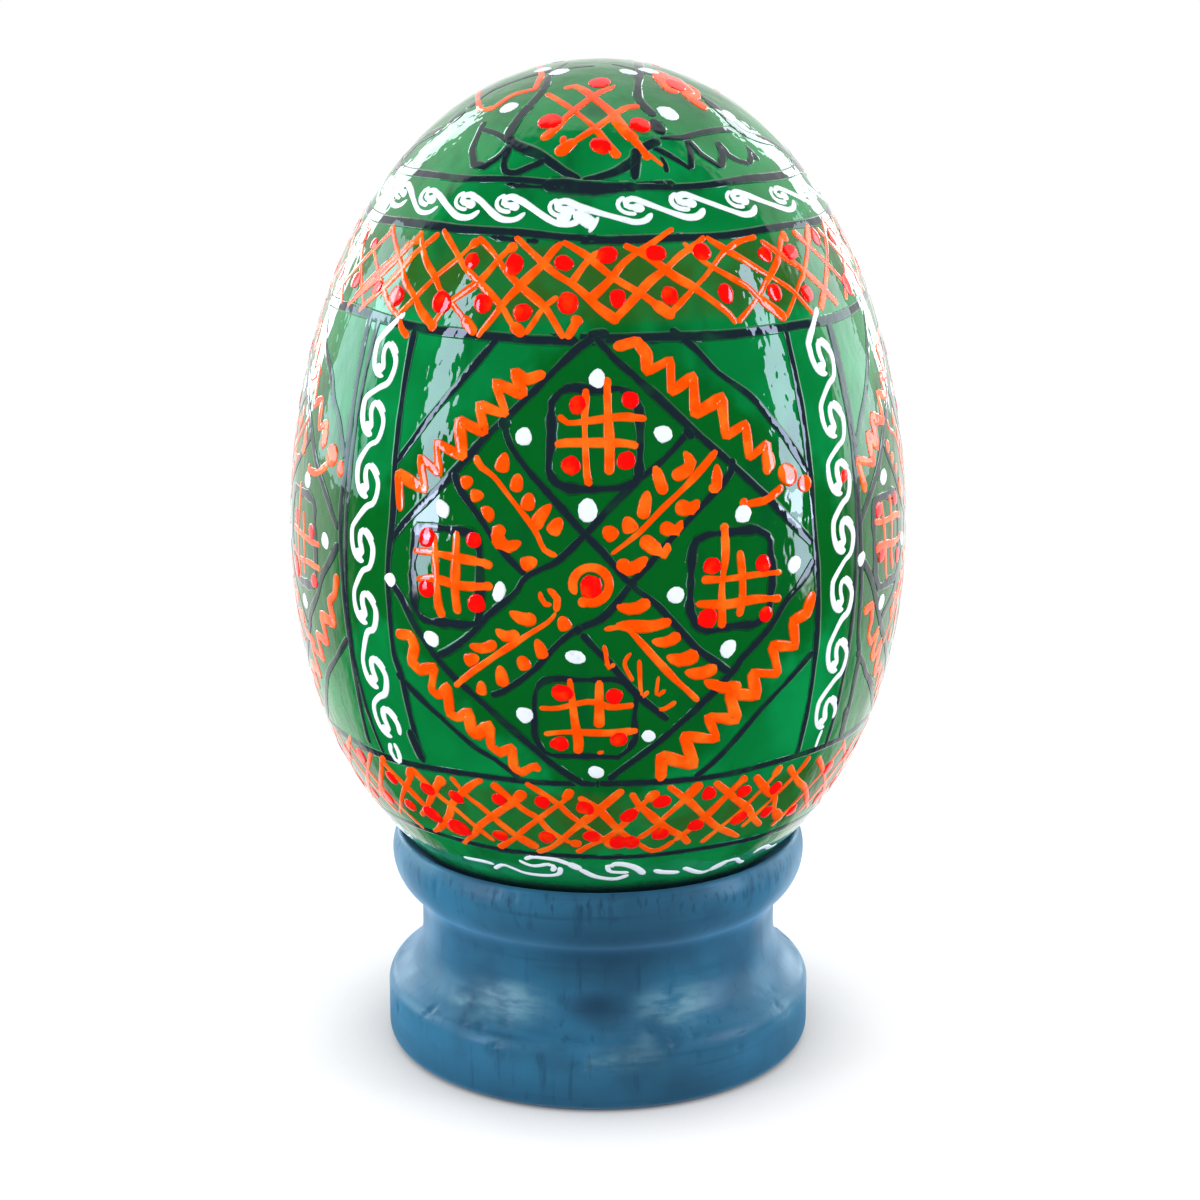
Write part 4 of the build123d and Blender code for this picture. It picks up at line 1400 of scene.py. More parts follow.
class EggLattices(bpy.types.Operator):
    """Paints the two orange lattices round the egg."""

    bl_idname = "painted_egg.lattices"
    bl_label = "Orange lattices"

    def execute(self, context):
        work = Brushwork(Skin(context.scene.egg_sizes), 21)
        chance = work.chance
        for path in UPPER_LATTICE + LOWER_LATTICE:
            work.stroke(path, chance.uniform(0.44, 0.6), tips=(1.1, 1.1), uneven=0.18)
            if chance.random() < 0.6:
                # The brush was pressed at one end
                work.stroke(path[-2:], chance.uniform(0.72, 0.94), tips=(1.3, 1.0), uneven=0.1)
        for low, high, slope, first, last, count in LATTICE_RULES:
            for i in range(count):
                for number, side in enumerate((1, -1)):
                    start = first[number] + (last[number] - first[number]) * i / (count - 1) + chance.gauss(0, 0.6)
                    bottom = low + chance.gauss(0, 0.25)
                    top = high + chance.gauss(0, 0.25)
                    middle = (bottom + top) / 2 + chance.gauss(0, 0.15)
                    run = side * slope * (top - bottom)
                    bow = chance.gauss(0, 0.7)
                    path = (
                        (start, bottom),
                        (start + run * (middle - bottom) / (top - bottom) + bow, middle),
                        (start + run, top),
                    )
                    work.stroke(path, chance.uniform(0.44, 0.6), tips=(1.1, 1.1), uneven=0.18)
        lay_strokes(work, "egg_orange_lattices", paint("orange", orange_paint, context))
        return {"FINISHED"}


class EggZigzags(bpy.types.Operator):
    """Paints the orange zigzags between the two diamonds of each panel."""

    bl_idname = "painted_egg.zigzags"
    bl_label = "Orange zigzags"

    def execute(self, context):
        work = Brushwork(Skin(context.scene.egg_sizes), 31)
        for spots in each_panel(work, ZIGZAGS, PANEL_SEED, 0.12):
            work.stroke(spots, work.chance.uniform(0.74, 0.84), tips=(1.3, 1.3), uneven=0.16, step=0.25, straight=True)
        for move in panel_copies(PANEL_SEED):
            for width, path in ZIGZAG_BLOTS:
                work.stroke([move(spot) for spot in path], width, tips=(1.0, 1.0), uneven=0.12, step=0.3)
        lay_strokes(work, "egg_orange_zigzags", paint("orange", orange_paint, context))
        return {"FINISHED"}


class EggSprays(bpy.types.Operator):
    """Paints the four leafy sprays of each panel."""

    bl_idname = "painted_egg.sprays"
    bl_label = "Orange sprays"

    def execute(self, context):
        work = Brushwork(Skin(context.scene.egg_sizes), 41)
        for spots in each_panel(work, SPRAY_STEMS, PANEL_SEED, 0.08):
            work.stroke(spots, 0.44, tips=(2.0, 2.0), uneven=0.2)
        for spots in each_panel(work, SPRAY_LEAVES, PANEL_SEED, 0.08):
            # A leaf is pressed down at its fat end, so it tapers towards its tip
            work.stroke(spots, work.chance.uniform(0.88, 1.1), tips=(3.0, 1.0), uneven=0.1, step=0.3)
        for spots in each_panel(work, SPRAY_HAIRS, PANEL_SEED, 0.05):
            work.stroke(spots, 0.34, tips=(2.5, 1.5), uneven=0.15, step=0.3)
        lay_strokes(work, "egg_orange_sprays", paint("orange", orange_paint, context))
        return {"FINISHED"}


class EggHashes(bpy.types.Operator):
    """Paints the small orange grids of each panel, the ring at its middle, and the grids on the cap."""

    bl_idname = "painted_egg.hashes"
    bl_label = "Orange grids"

    def execute(self, context):
        work = Brushwork(Skin(context.scene.egg_sizes), 51)
        for spots in each_panel(work, ORANGE_HASHES, PANEL_SEED, 0.08):
            work.stroke(spots, work.chance.uniform(0.5, 0.64), tips=(1.1, 1.1), uneven=0.18)
        ring = []
        for i in range(15):
            turn = math.radians(215 - 23.5 * i)
            ring.append((-1.2 + 1.2 / 0.39 * math.cos(turn), 42.35 + 1.2 * math.sin(turn)))
        for spots in each_panel(work, [ring, ((-1.6, 41.3), (-3.3, 40.95))], PANEL_SEED, 0.04):
            work.stroke(spots, 0.62, tips=(1.5, 1.5), uneven=0.18, step=0.3)
        for quarter in range(4):
            turn = math.radians(90 * quarter)
            s, k = math.sin(turn), math.cos(turn)
            if quarter % 2:
                continue
            for width, path in CAP_HASH:
                spots = [(x * k + y * s, -x * s + y * k) for x, y in path]
                work.stroke(spots, width, tips=(1.1, 1.1), chart=work.skin.cap, uneven=0.12)
        for side in (1, -1):
            for width, path in CAP_SIDES:
                spots = [(x * side, y * side) for x, y in path]
                work.stroke(spots, width, tips=(1.0, 1.0), chart=work.skin.cap, uneven=0.16, straight=True)
        lay_strokes(work, "egg_orange_grids", paint("orange", orange_paint, context))
        return {"FINISHED"}


class EggRedDrops(bpy.types.Operator):
    """Sets the red drops in grids, lattices, panel middles and on the cap."""

    bl_idname = "painted_egg.red_drops"
    bl_label = "Red drops"

    def execute(self, context):
        work = Brushwork(Skin(context.scene.egg_sizes), 61)
        chance = work.chance
        for number, move in enumerate(panel_copies(PANEL_SEED)):
            for x, z, radius in RED_DROPS:
                spot = move((x, z))
                if number:
                    spot = hand(work, [spot], 0.1)[0]
                size = radius * chance.uniform(0.95, 1.05)
                work.drop(spot, size, chance.uniform(0.95, 1.2), chance.uniform(0, 3.14))
        for x, z, radius in LATTICE_DROPS:
            work.drop((x, z), radius, chance.uniform(0.95, 1.25), chance.uniform(0, 3.14))
        for height, first, last, count in LATTICE_DROP_ROWS:
            for i in range(count):
                x = first + (last - first) * i / (count - 1) + chance.gauss(0, 1.0)
                spot = (x, height + chance.gauss(0, 0.25))
                work.drop(spot, chance.uniform(0.54, 0.74), chance.uniform(0.9, 1.25), chance.uniform(0, 3.14))
        for side in (1, -1):
            for x, y, radius in CAP_RED:
                work.drop((x * side, y * side), radius, 1.15, chance.uniform(0, 3.14), work.skin.cap)
            work.drop((5.7 * side, 4.4 * side), 0.85, 1.2, 0.3, work.skin.cap)
        work.drop((49.5, 48), 0.45, 1.2)
        lay_drops(work, "egg_red_drops", paint("red", red_paint, context))
        return {"FINISHED"}


class EggWhiteDrops(bpy.types.Operator):
    """Sets the white drops."""

    bl_idname = "painted_egg.white_drops"
    bl_label = "White drops"

    def execute(self, context):
        work = Brushwork(Skin(context.scene.egg_sizes), 71)
        for number, move in enumerate(panel_copies(PANEL_SEED)):
            for x, z, radius, stretch, turn in WHITE_DROPS:
                spot = move((x, z))
                if number:
                    spot = hand(work, [spot], 0.12)[0]
                work.drop(spot, radius, stretch, math.radians(turn))
        for quarter in range(4):
            turn = math.radians(90 * quarter)
            s, k = math.sin(turn), math.cos(turn)
            for x, y, radius in CAP_WHITE if quarter % 2 == 0 else CAP_WHITE[:2]:
                work.drop((x * k + y * s, -x * s + y * k), radius, 1.2, work.chance.uniform(0, 3.14), work.skin.cap)
        lay_drops(work, "egg_white_drops", paint("white", white_paint, context))
        return {"FINISHED"}


def beside(work, heart, path):
    """A path in millimetres from a heart, as degrees round and drawing millimetres up."""
    radius = work.skin.outline(work.skin.side(heart)[1])[0] / MM
    per_degree = math.radians(radius)
    return [(heart[0] + u / per_degree, heart[1] + v) for u, v in path]


def running_scroll(work, hearts, hook, curl, marks, line):
    """Paints a running scroll along a row of hearts, with the marks that fill each of them once."""
    for here, there in zip(hearts, hearts[1:]):
        path = beside(work, here, hook) + beside(work, there, curl)
        work.stroke(path, line * work.chance.uniform(0.9, 1.1), tips=(1.5, 2.5), uneven=0.13, step=0.26)
    for heart in hearts:
        if heart[0] - hearts[0][0] >= 360:
            continue
        for width, path in marks:
            work.stroke(beside(work, heart, path), width, tips=(1.4, 1.4), uneven=0.13, step=0.26)


class EggScrolls(bpy.types.Operator):
    """Paints the white running scrolls: four upright columns and two bands round the egg."""

    bl_idname = "painted_egg.scrolls"
    bl_label = "White scrolls"

    def execute(self, context):
        work = Brushwork(Skin(context.scene.egg_sizes), 81)
        for shift, column in ((0, LEFT_COLUMN), (0, RIGHT_COLUMN), (88.7, RIGHT_COLUMN), (270.5, LEFT_COLUMN)):
            hearts = [(x + shift, z) for x, z in column]
            if shift:
                hearts = hand(work, hearts, 0.12)
            running_scroll(work, hearts, COLUMN_HOOK, COLUMN_CURL, COLUMN_HEART, 0.5)
            first, last = hearts[0], hearts[-1]
            work.stroke([(first[0] + 2.4, 59.5)] + beside(work, first, COLUMN_CURL), 0.5, tips=(1.5, 2.5), step=0.26)
            work.stroke(beside(work, last, COLUMN_HOOK[:-2]), 0.5, tips=(1.5, 2.5), step=0.26)
        for width, path in COLUMN_ENDS:
            work.stroke(path, width, tips=(1.5, 1.5), uneven=0.1, step=0.3)
        rest = hand(work, [(55 + 14.3 * (i + 1), 66.7) for i in range(17)], 0.08)
        hearts = list(UPPER_SCROLLS) + rest + [(UPPER_SCROLLS[0][0] + 360, UPPER_SCROLLS[0][1])]
        running_scroll(work, hearts, BAND_HOOK, BAND_CURL, BAND_HEART, 0.5)
        for width, path in UPPER_BLOTS:
            work.stroke(path, width, tips=(1.0, 1.0), uneven=0.08, step=0.3)
        for width, path in LOWER_SCROLL:
            work.stroke(path, width, tips=(1.6, 1.6), uneven=0.1, step=0.3)
        rest = hand(work, [(67 + 19.3 * i, 19.2) for i in range(13)], 0.1)
        running_scroll(work, rest, BAND_HOOK, BAND_CURL, BAND_HEART, 0.42)
        lay_strokes(work, "egg_white_scrolls", paint("white", white_paint, context), most_rise=0.03 * MM)
        return {"FINISHED"}


def ogee(start, end, convex_share, convex_first):
    """Two tangent arcs between two upright ends, as points from the first to the second."""
    inward = start[0] - end[0]
    rise = end[1] - start[1]
    turn = 2 * math.atan2(abs(inward), rise)
    first_share = convex_share if convex_first else 1 - convex_share
    first = first_share * rise / math.sin(turn)
    second = (1 - first_share) * rise / math.sin(turn)
    side = math.copysign(1, inward)
    points = []
    steps = 16
    for i in range(1, steps + 1):
        a = turn * i / steps
        points.append((start[0] - side * first * (1 - math.cos(a)), start[1] + first * math.sin(a)))
    for i in range(steps - 1, -1, -1):
        a = turn * i / steps
        points.append((end[0] + side * second * (1 - math.cos(a)), end[1] - second * math.sin(a)))
    return points


def stand_outline(sizes):
    """Closed outline of the ring as radius and height in millimetres, from the bore's foot outwards and up."""
    foot_radius = sizes.foot_radius / MM
    rim_level = sizes.rim_level / MM
    foot_band = 4.1
    foot_edge = 0.93
    neck_low = foot_band + 4.8
    neck_high = neck_low + 1.4
    bead_level = rim_level - 1.65
    neck_radius = foot_radius - 2.7
    bead_radius = neck_radius + 2.2
    rim_radius = bead_radius - 0.45
    mouth_radius = rim_radius - 0.25
    lip = 0.1
    bore_radius = mouth_radius - 1.85 - 4.2
    seat_low = rim_level - (1.85 + 4.2) * 0.811
    chamfer = 0.5

    def run(start, end, steps):
        return [
            (start[0] + (end[0] - start[0]) * i / steps, start[1] + (end[1] - start[1]) * i / steps)
            for i in range(1, steps + 1)
        ]

    points = [(bore_radius + chamfer, 0.0)]
    points += run(points[-1], (foot_radius - foot_edge, 0.0), 8)
    for i in range(1, 9):
        a = math.pi / 2 * i / 8
        points.append(
            (foot_radius - foot_edge + foot_edge * math.sin(a), foot_edge - foot_edge * math.cos(a))
        )
    points += run(points[-1], (foot_radius, foot_band), 14)
    points += ogee((foot_radius, foot_band), (neck_radius, neck_low), 0.25, True)
    points += run(points[-1], (neck_radius, neck_high), 5)
    points += ogee((neck_radius, neck_high), (bead_radius, bead_level), 0.62, False)
    # From the bead the last arc leans in to the rim
    lean = bead_radius - rim_radius
    rise = rim_level - bead_level
    radius = (lean * lean + rise * rise) / (2 * lean)
    for i in range(1, 9):
        z = (rise - lip) * i / 8
        points.append((bead_radius - radius + math.sqrt(radius * radius - z * z), bead_level + z))
    points.append((rim_radius - 0.03, rim_level - 0.03))
    points.append((rim_radius - lip, rim_level))
    points.append((mouth_radius + lip / 2, rim_level))
    points.append((mouth_radius - lip * 0.4, rim_level - 0.05))
    points += run(points[-1], (bore_radius, seat_low), 16)
    points += run(points[-1], (bore_radius, chamfer), 16)
    points += run(points[-1], (bore_radius + chamfer, 0.0), 2)[:-1]
    return points


def stand_tree():
    """Tree that turns an outline of points round the upright axis, with tool marks, torn grain and dents."""
    tree, given = new_tree(
        "turned_ring",
        [
            ("Points", "NodeSocketInt"),
            ("Around", "NodeSocketInt"),
            ("Tool mark", "NodeSocketFloat"),
            ("Chip", "NodeSocketFloat"),
            ("Rim level", "NodeSocketFloat"),
            ("Shoulder level", "NodeSocketFloat"),
            ("Material", "NodeSocketMaterial"),
        ],
    )
    place = add(tree, "GeometryNodeInputPosition").outputs[0]
    columns = add(tree, "ShaderNodeMath", {0: given["Around"], 1: 1.0}, operation="ADD").outputs[0]
    rows = add(tree, "ShaderNodeMath", {0: given["Points"], 1: 1.0}, operation="ADD").outputs[0]
    grid = add(
        tree, "GeometryNodeMeshGrid", {"Size X": 1.0, "Size Y": 1.0, "Vertices X": columns, "Vertices Y": rows}
    ).outputs[0]
    parts = add(tree, "ShaderNodeSeparateXYZ", {0: place}).outputs
    u = add(tree, "ShaderNodeMath", {0: parts["X"], 1: 0.5}, operation="ADD").outputs[0]
    v = add(tree, "ShaderNodeMath", {0: parts["Y"], 1: 0.5}, operation="ADD").outputs[0]
    number = add(tree, "ShaderNodeMath", {0: v, 1: given["Points"]}, operation="MULTIPLY").outputs[0]
    number = add(tree, "ShaderNodeMath", {0: number}, operation="ROUND").outputs[0]
    number = add(tree, "ShaderNodeMath", {0: number, 1: given["Points"]}, operation="MODULO").outputs[0]
    spot = add(
        tree,
        "GeometryNodeSampleIndex",
        {"Geometry": given["Geometry"], "Value": place, "Index": number},
        data_type="FLOAT_VECTOR",
    ).outputs[0]
    outline = add(tree, "ShaderNodeSeparateXYZ", {0: spot}).outputs
    angle = add(tree, "ShaderNodeMath", {0: u, 1: math.tau}, operation="MULTIPLY").outputs[0]
    side = add(tree, "ShaderNodeMath", {0: angle}, operation="COSINE").outputs[0]
    front = add(tree, "ShaderNodeMath", {0: angle}, operation="SINE").outputs[0]
    x = add(tree, "ShaderNodeMath", {0: outline["X"], 1: side}, operation="MULTIPLY").outputs[0]
    y = add(tree, "ShaderNodeMath", {0: outline["X"], 1: front}, operation="MULTIPLY").outputs[0]
    turned = add(tree, "ShaderNodeCombineXYZ", {0: x, 1: y, 2: outline["Z"]}).outputs[0]
    ring = add(tree, "GeometryNodeSetPosition", {"Geometry": grid, "Position": turned}).outputs[0]
    ring = add(tree, "GeometryNodeMergeByDistance", {"Geometry": ring, "Distance": 0.002 * MM}).outputs[0]
    height = add(tree, "ShaderNodeSeparateXYZ", {0: place}).outputs["Z"]
    outwards = add(tree, "GeometryNodeInputNormal").outputs[0]

    def noise(length, stretch, detail):
        drawn = add(tree, "ShaderNodeVectorMath", {0: place, 1: stretch}, operation="MULTIPLY").outputs[0]
        return add(
            tree, "ShaderNodeTexNoise", {"Vector": drawn, "Scale": 1 / length, "Detail": detail}
        ).outputs[0]

    def around(level, reach):
        off = add(tree, "ShaderNodeMath", {0: height, 1: level}, operation="SUBTRACT").outputs[0]
        off = add(tree, "ShaderNodeMath", {0: off}, operation="ABSOLUTE").outputs[0]
        return ramp(tree, off, reach * 0.35, reach, 1.0, 0.0)

    marks = add(
        tree, "ShaderNodeMath", {0: noise(0.9 * MM, (0.02, 0.02, 1.0), 1.0), 1: given["Tool mark"]}, operation="MULTIPLY"
    ).outputs[0]
    torn_level = add(tree, "ShaderNodeMath", {0: given["Rim level"], 1: 1.2 * MM}, operation="SUBTRACT").outputs[0]
    torn = ramp(tree, noise(0.55 * MM, (1.0, 1.0, 0.22), 1.0), 0.6, 0.74)
    torn = add(tree, "ShaderNodeMath", {0: torn, 1: around(torn_level, 1.5 * MM)}, operation="MULTIPLY").outputs[0]
    torn = add(tree, "ShaderNodeMath", {0: torn, 1: 0.45}, operation="MULTIPLY").outputs[0]
    dents = ramp(tree, noise(1.5 * MM, (1.0, 1.0, 1.0), 2.0), 0.6, 0.7)
    dents = add(
        tree, "ShaderNodeMath", {0: dents, 1: around(given["Shoulder level"], 2.2 * MM)}, operation="MULTIPLY"
    ).outputs[0]
    deep = add(tree, "ShaderNodeMath", {0: torn, 1: dents}, operation="ADD").outputs[0]
    deep = add(tree, "ShaderNodeMath", {0: deep, 1: given["Chip"], 2: marks}, operation="MULTIPLY_ADD").outputs[0]
    floor_clear = ramp(tree, height, 0.05 * MM, 0.6 * MM)
    deep = add(tree, "ShaderNodeMath", {0: deep, 1: floor_clear}, operation="MULTIPLY").outputs[0]
    deep = add(tree, "ShaderNodeMath", {0: deep, 1: -1.0}, operation="MULTIPLY").outputs[0]
    offset = add(tree, "ShaderNodeVectorMath", {0: outwards, "Scale": deep}, operation="SCALE").outputs[0]
    ring = add(tree, "GeometryNodeSetPosition", {"Geometry": ring, "Offset": offset}).outputs[0]
    end_tree(tree, ring, given["Material"])
    return tree


class TurnedStand(bpy.types.Operator):
    """Makes the turned and painted ring that the egg stands in."""

    bl_idname = "painted_egg.stand"
    bl_label = "Turned stand"

    def execute(self, context):
        sizes = context.scene.stand_sizes
        outline = stand_outline(sizes)
        mesh = bpy.data.meshes.new("stand_turned_ring")
        mesh.from_pydata([(r * MM, 0.0, z * MM) for r, z in outline], [], [])
        ring = bpy.data.objects.new("stand_turned_ring", mesh)
        context.scene.collection.objects.link(ring)
        grow(
            ring,
            stand_tree(),
            {
                "Points": len(outline),
                "Around": 400,
                "Tool mark": sizes.tool_mark,
                "Chip": sizes.chip,
                "Rim level": sizes.rim_level,
                "Shoulder level": 4.6 * MM,
                "Material": paint("blue", blue_paint, context),
            },
        )
        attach(ring, "stand")
        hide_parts("stand")
        return {"FINISHED"}


# The two windows that the lacquer mirrors: their turns from the front and the colour of their light
STRIP_LEFT = -63
STRIP_RIGHT = 75
WINDOW_COLOUR = (0.65, 0.74, 1.0)


def area_lamp(name, place, target, wide, high, radiance, colour=(0.86, 0.96, 1.0), glossy=True):
    """A rectangular lamp that looks at a target, as bright as a radiance."""
    data = bpy.data.lights.new(name, "AREA")
    data.shape = "RECTANGLE"
    data.size = wide
    data.size_y = high
    data.energy = radiance * math.pi * wide * high
    data.color = colour
    lamp = bpy.data.objects.new(name, data)
    lamp.location = place
    lamp.rotation_euler = (Vector(target) - Vector(place)).to_track_quat("-Z", "Y").to_euler()
    lamp.visible_camera = False
    lamp.visible_glossy = glossy
    bpy.context.scene.collection.objects.link(lamp)
    return lamp


def round_the_egg(degrees, distance, height):
    """A place at a turn from the front, positive to the right."""
    turn = math.radians(degrees)
    return distance * math.sin(turn), -distance * math.cos(turn), height


class PhotoStage(bpy.types.Operator):
    """Sets the floor, the lamps, the white surroundings and the camera."""

    bl_idname = "painted_egg.stage"
    bl_label = "Stage, lamps and camera"

    def execute(self, context):
        scene = context.scene
        # Floor: matt white board, lit a little for the camera alone so that it reads as white and keeps the shadow
        size = 4.0
        low = -0.05 * MM
        mesh = bpy.data.meshes.new("floor")
        mesh.from_pydata([(-size, -size, low), (size, -size, low), (size, size, low), (-size, size, low)], [], [(0, 1, 2, 3)])
        floor = bpy.data.objects.new("floor", mesh)
        scene.collection.objects.link(floor)
        material = bpy.data.materials.new("matt_white_board")
        material.use_nodes = True
        tree = material.node_tree
        tree.nodes.clear()
        path = add(tree, "ShaderNodeLightPath").outputs
        # The camera sees a darker matt board plus a glow that fades close to the stand, which together are white
        # with a shadow round the foot. Further out the glow alone is white, so the lamps leave no pools of light
        # there. Light that bounces off it sees plain white board.
        seen = path["Is Camera Ray"]
        spot = add(tree, "ShaderNodeTexCoord").outputs["Object"]
        away = add(tree, "ShaderNodeVectorMath", {0: spot}, operation="LENGTH").outputs["Value"]
        shade = ramp(tree, away, 60 * MM, 120 * MM, 0.3, 0.0)
        shade = add(tree, "ShaderNodeMix", {0: seen, 2: 0.8, 3: shade}).outputs[0]
        matt = add(tree, "ShaderNodeBsdfDiffuse", {"Color": shade}).outputs[0]
        near = add(tree, "ShaderNodeAmbientOcclusion", {"Distance": 14 * MM}, samples=12).outputs["AO"]
        glow = add(tree, "ShaderNodeMath", {0: near, 1: 1.15}, operation="POWER").outputs[0]
        full = ramp(tree, away, 60 * MM, 120 * MM, 0.84, 1.0)
        glow = add(tree, "ShaderNodeMath", {0: glow, 1: full}, operation="MULTIPLY").outputs[0]
        glow = add(tree, "ShaderNodeMath", {0: glow, 1: seen}, operation="MULTIPLY").outputs[0]
        # In the lacquer the board shows dark in front of the egg, where the room is, and white behind it
        parts = add(tree, "ShaderNodeSeparateXYZ", {0: spot}).outputs
        aside = add(tree, "ShaderNodeMath", {0: parts["X"]}, operation="ABSOLUTE").outputs[0]
        aside = add(tree, "ShaderNodeMath", {0: aside, 1: 5 * MM}, operation="ADD").outputs[0]
        ahead = add(tree, "ShaderNodeMath", {0: parts["Y"], 1: aside}, operation="DIVIDE").outputs[0]
        mirrored = ramp(tree, ahead, 0.05, 0.4, 0.02, 1.3)
        # and the light of both windows in a strip each, which runs on below the strip lamps
        windows = 0.0
        for turn in (STRIP_LEFT, STRIP_RIGHT):
            across, ahead, _ = round_the_egg(turn, 1.0, 0.0)
            along = add(
                tree, "ShaderNodeVectorMath", {0: spot, 1: (across, ahead, 0.0)}, operation="DOT_PRODUCT"
            ).outputs["Value"]
            off = add(
                tree, "ShaderNodeVectorMath", {0: spot, 1: (-ahead, across, 0.0)}, operation="DOT_PRODUCT"
            ).outputs["Value"]
            off = add(tree, "ShaderNodeMath", {0: off}, operation="ABSOLUTE").outputs[0]
            reach = add(tree, "ShaderNodeMath", {0: along, 1: MM}, operation="MAXIMUM").outputs[0]
            off = add(tree, "ShaderNodeMath", {0: off, 1: reach}, operation="DIVIDE").outputs[0]
            strip = ramp(tree, off, 0.06, 0.09, 1.0, 0.0)
            far = ramp(tree, along, 150 * MM, 200 * MM)
            strip = add(tree, "ShaderNodeMath", {0: strip, 1: far}, operation="MULTIPLY").outputs[0]
            windows = add(tree, "ShaderNodeMath", {0: windows, 1: strip}, operation="MAXIMUM").outputs[0]
        mirrored = add(tree, "ShaderNodeMath", {0: windows, 1: 11.0, 2: mirrored}, operation="MULTIPLY_ADD").outputs[0]
        tinted = add(
            tree, "ShaderNodeMath", {0: windows, 1: path["Is Glossy Ray"]}, operation="MULTIPLY"
        ).outputs[0]
        tint = blend(tree, tinted, (1, 1, 1, 1), (*WINDOW_COLOUR, 1))
        level = add(tree, "ShaderNodeMix", {0: path["Is Glossy Ray"], 2: glow, 3: mirrored}).outputs[0]
        shine = add(tree, "ShaderNodeEmission", {"Color": tint, "Strength": level}).outputs[0]
        both = add(tree, "ShaderNodeAddShader", {0: matt, 1: shine}).outputs[0]
        board = add(tree, "ShaderNodeMixShader", {0: path["Is Glossy Ray"], 1: both, 2: shine}).outputs[0]
        add(tree, "ShaderNodeOutputMaterial", {"Surface": board})
        mesh.materials.append(material)

        world = bpy.data.worlds.new("studio")
        scene.world = world
        world.use_nodes = True
        tree = world.node_tree
        tree.nodes.clear()
        path = add(tree, "ShaderNodeLightPath").outputs
        parts = add(
            tree, "ShaderNodeSeparateXYZ", {0: add(tree, "ShaderNodeTexCoord").outputs["Generated"]}
        ).outputs
        # Dark in front of the egg, where the camera and the room are, and white behind it
        mirrored = ramp(tree, parts["Y"], 0.15, 0.26, 0.02, 1.15)
        # Softer light from the front than from both sides
        sideways = add(tree, "ShaderNodeMath", {0: parts["X"], 1: 4.0}, operation="POWER").outputs[0]
        soft = add(tree, "ShaderNodeMath", {0: sideways, 1: 2.1, 2: 0.28}, operation="MULTIPLY_ADD").outputs[0]
        level = add(tree, "ShaderNodeMix", {0: path["Is Glossy Ray"], 2: soft, 3: mirrored}).outputs[0]
        plain = add(
            tree, "ShaderNodeMath", {0: path["Is Camera Ray"], 1: path["Is Transmission Ray"]}, operation="MAXIMUM"
        ).outputs[0]
        level = add(tree, "ShaderNodeMix", {0: plain, 2: level, 3: 1.0}).outputs[0]
        air = add(tree, "ShaderNodeBackground", {"Color": (1, 1, 1, 1), "Strength": level}).outputs[0]
        add(tree, "ShaderNodeOutputWorld", {"Surface": air})

        middle = (0, 0, 40 * MM)
        for name, turn in (("strip_left", STRIP_LEFT), ("strip_right", STRIP_RIGHT)):
            area_lamp(name, round_the_egg(turn, 0.5, 0.2), (0, 0, 0.2), 0.085, 0.4, 12.5, WINDOW_COLOUR)
        area_lamp("veil_left", round_the_egg(-111, 0.5, 0.13), (0, 0, 0.13), 0.26, 0.3, 3.2, (0.6, 0.92, 1.0))
        area_lamp("veil_far_left", round_the_egg(-104, 0.5, 0.24), (0, 0, 0.2), 0.08, 0.14, 7.0, (0.6, 0.92, 1.0))
        area_lamp("veil_right", round_the_egg(116, 0.5, 0.13), (0, 0, 0.13), 0.22, 0.3, 2.6, (0.75, 0.95, 1.0))
        area_lamp("rim_left", round_the_egg(-145, 0.5, 0.2), (0, 0, 0.2), 0.11, 0.4, 5.5)
        area_lamp("rim_right", round_the_egg(147, 0.5, 0.2), (0, 0, 0.2), 0.09, 0.4, 5.5)
        area_lamp("fill_front", (0, -0.9, 0.3), middle, 0.8, 0.6, 0.85, (1.0, 1.0, 1.0), glossy=False)
        area_lamp("fill_above", (0, -0.35, 0.75), middle, 0.7, 0.7, 0.9, (1.0, 1.0, 1.0), glossy=False)

        data = bpy.data.cameras.new("photo_camera")
        data.sensor_width = 36
        data.lens = 82.55
        data.shift_x = 0.0016
        data.clip_start = 0.01
        data.clip_end = 20
        camera = bpy.data.objects.new("photo_camera", data)
        camera.location = (0, -0.19963, 0.09003)
        camera.rotation_euler = (math.radians(74.415), 0, 0)
        scene.collection.objects.link(camera)
        scene.camera = camera
        scene.view_settings.view_transform = "Standard"
        return {"FINISHED"}


OPERATORS = (
    PhotoStage, EggGround, EggInk, EggLattices, EggZigzags, EggSprays, EggHashes,
    EggRedDrops, EggWhiteDrops, EggScrolls, TurnedStand,
)


class EggPanel(bpy.types.Panel):
    """Lists the steps and the sizes in the 3D view's sidebar."""

    bl_idname = "VIEW3D_PT_painted_egg"
    bl_label = "Painted Egg"
    bl_space_type = "VIEW_3D"
    bl_region_type = "UI"
    bl_category = "Painted Egg"

    def draw(self, context):
        layout = self.layout
        for group in (context.scene.egg_sizes, context.scene.stand_sizes, context.scene.egg_colours):
            box = layout.box()
            for key in group.__annotations__:
                box.prop(group, key)
        for operator in OPERATORS:
            layout.operator(operator.bl_idname)


CLASSES = (EggSizes, StandSizes, PaintColours, *OPERATORS, EggPanel)


def register():
    """Registers the classes and hangs the settings on the scene."""
    for cls in CLASSES:
        bpy.utils.register_class(cls)
    bpy.types.Scene.egg_sizes = bpy.props.PointerProperty(type=EggSizes)
    bpy.types.Scene.stand_sizes = bpy.props.PointerProperty(type=StandSizes)
    bpy.types.Scene.egg_colours = bpy.props.PointerProperty(type=PaintColours)


def unregister():
    """Takes the settings and the classes away again."""
    del bpy.types.Scene.egg_colours
    del bpy.types.Scene.stand_sizes
    del bpy.types.Scene.egg_sizes
    for cls in reversed(CLASSES):
        bpy.utils.unregister_class(cls)


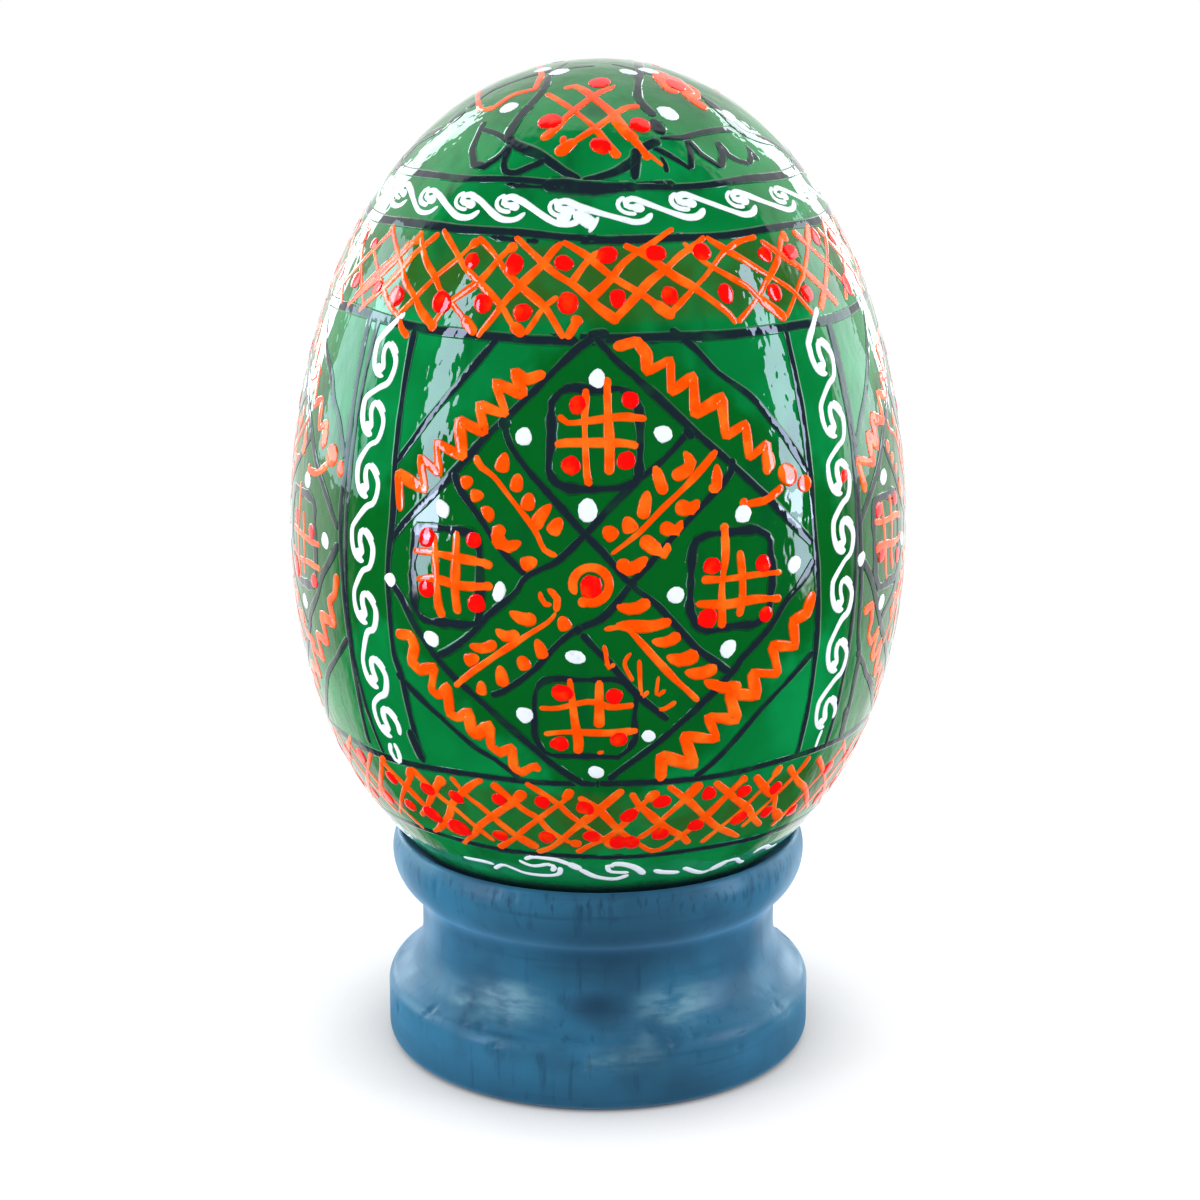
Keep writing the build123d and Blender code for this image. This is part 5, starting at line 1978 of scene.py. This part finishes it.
def main():
    """Builds the whole scene."""
    register()
    for operator in OPERATORS:
        group, name = operator.bl_idname.split(".")
        getattr(getattr(bpy.ops, group), name)()


if __name__ == "__main__":
    main()
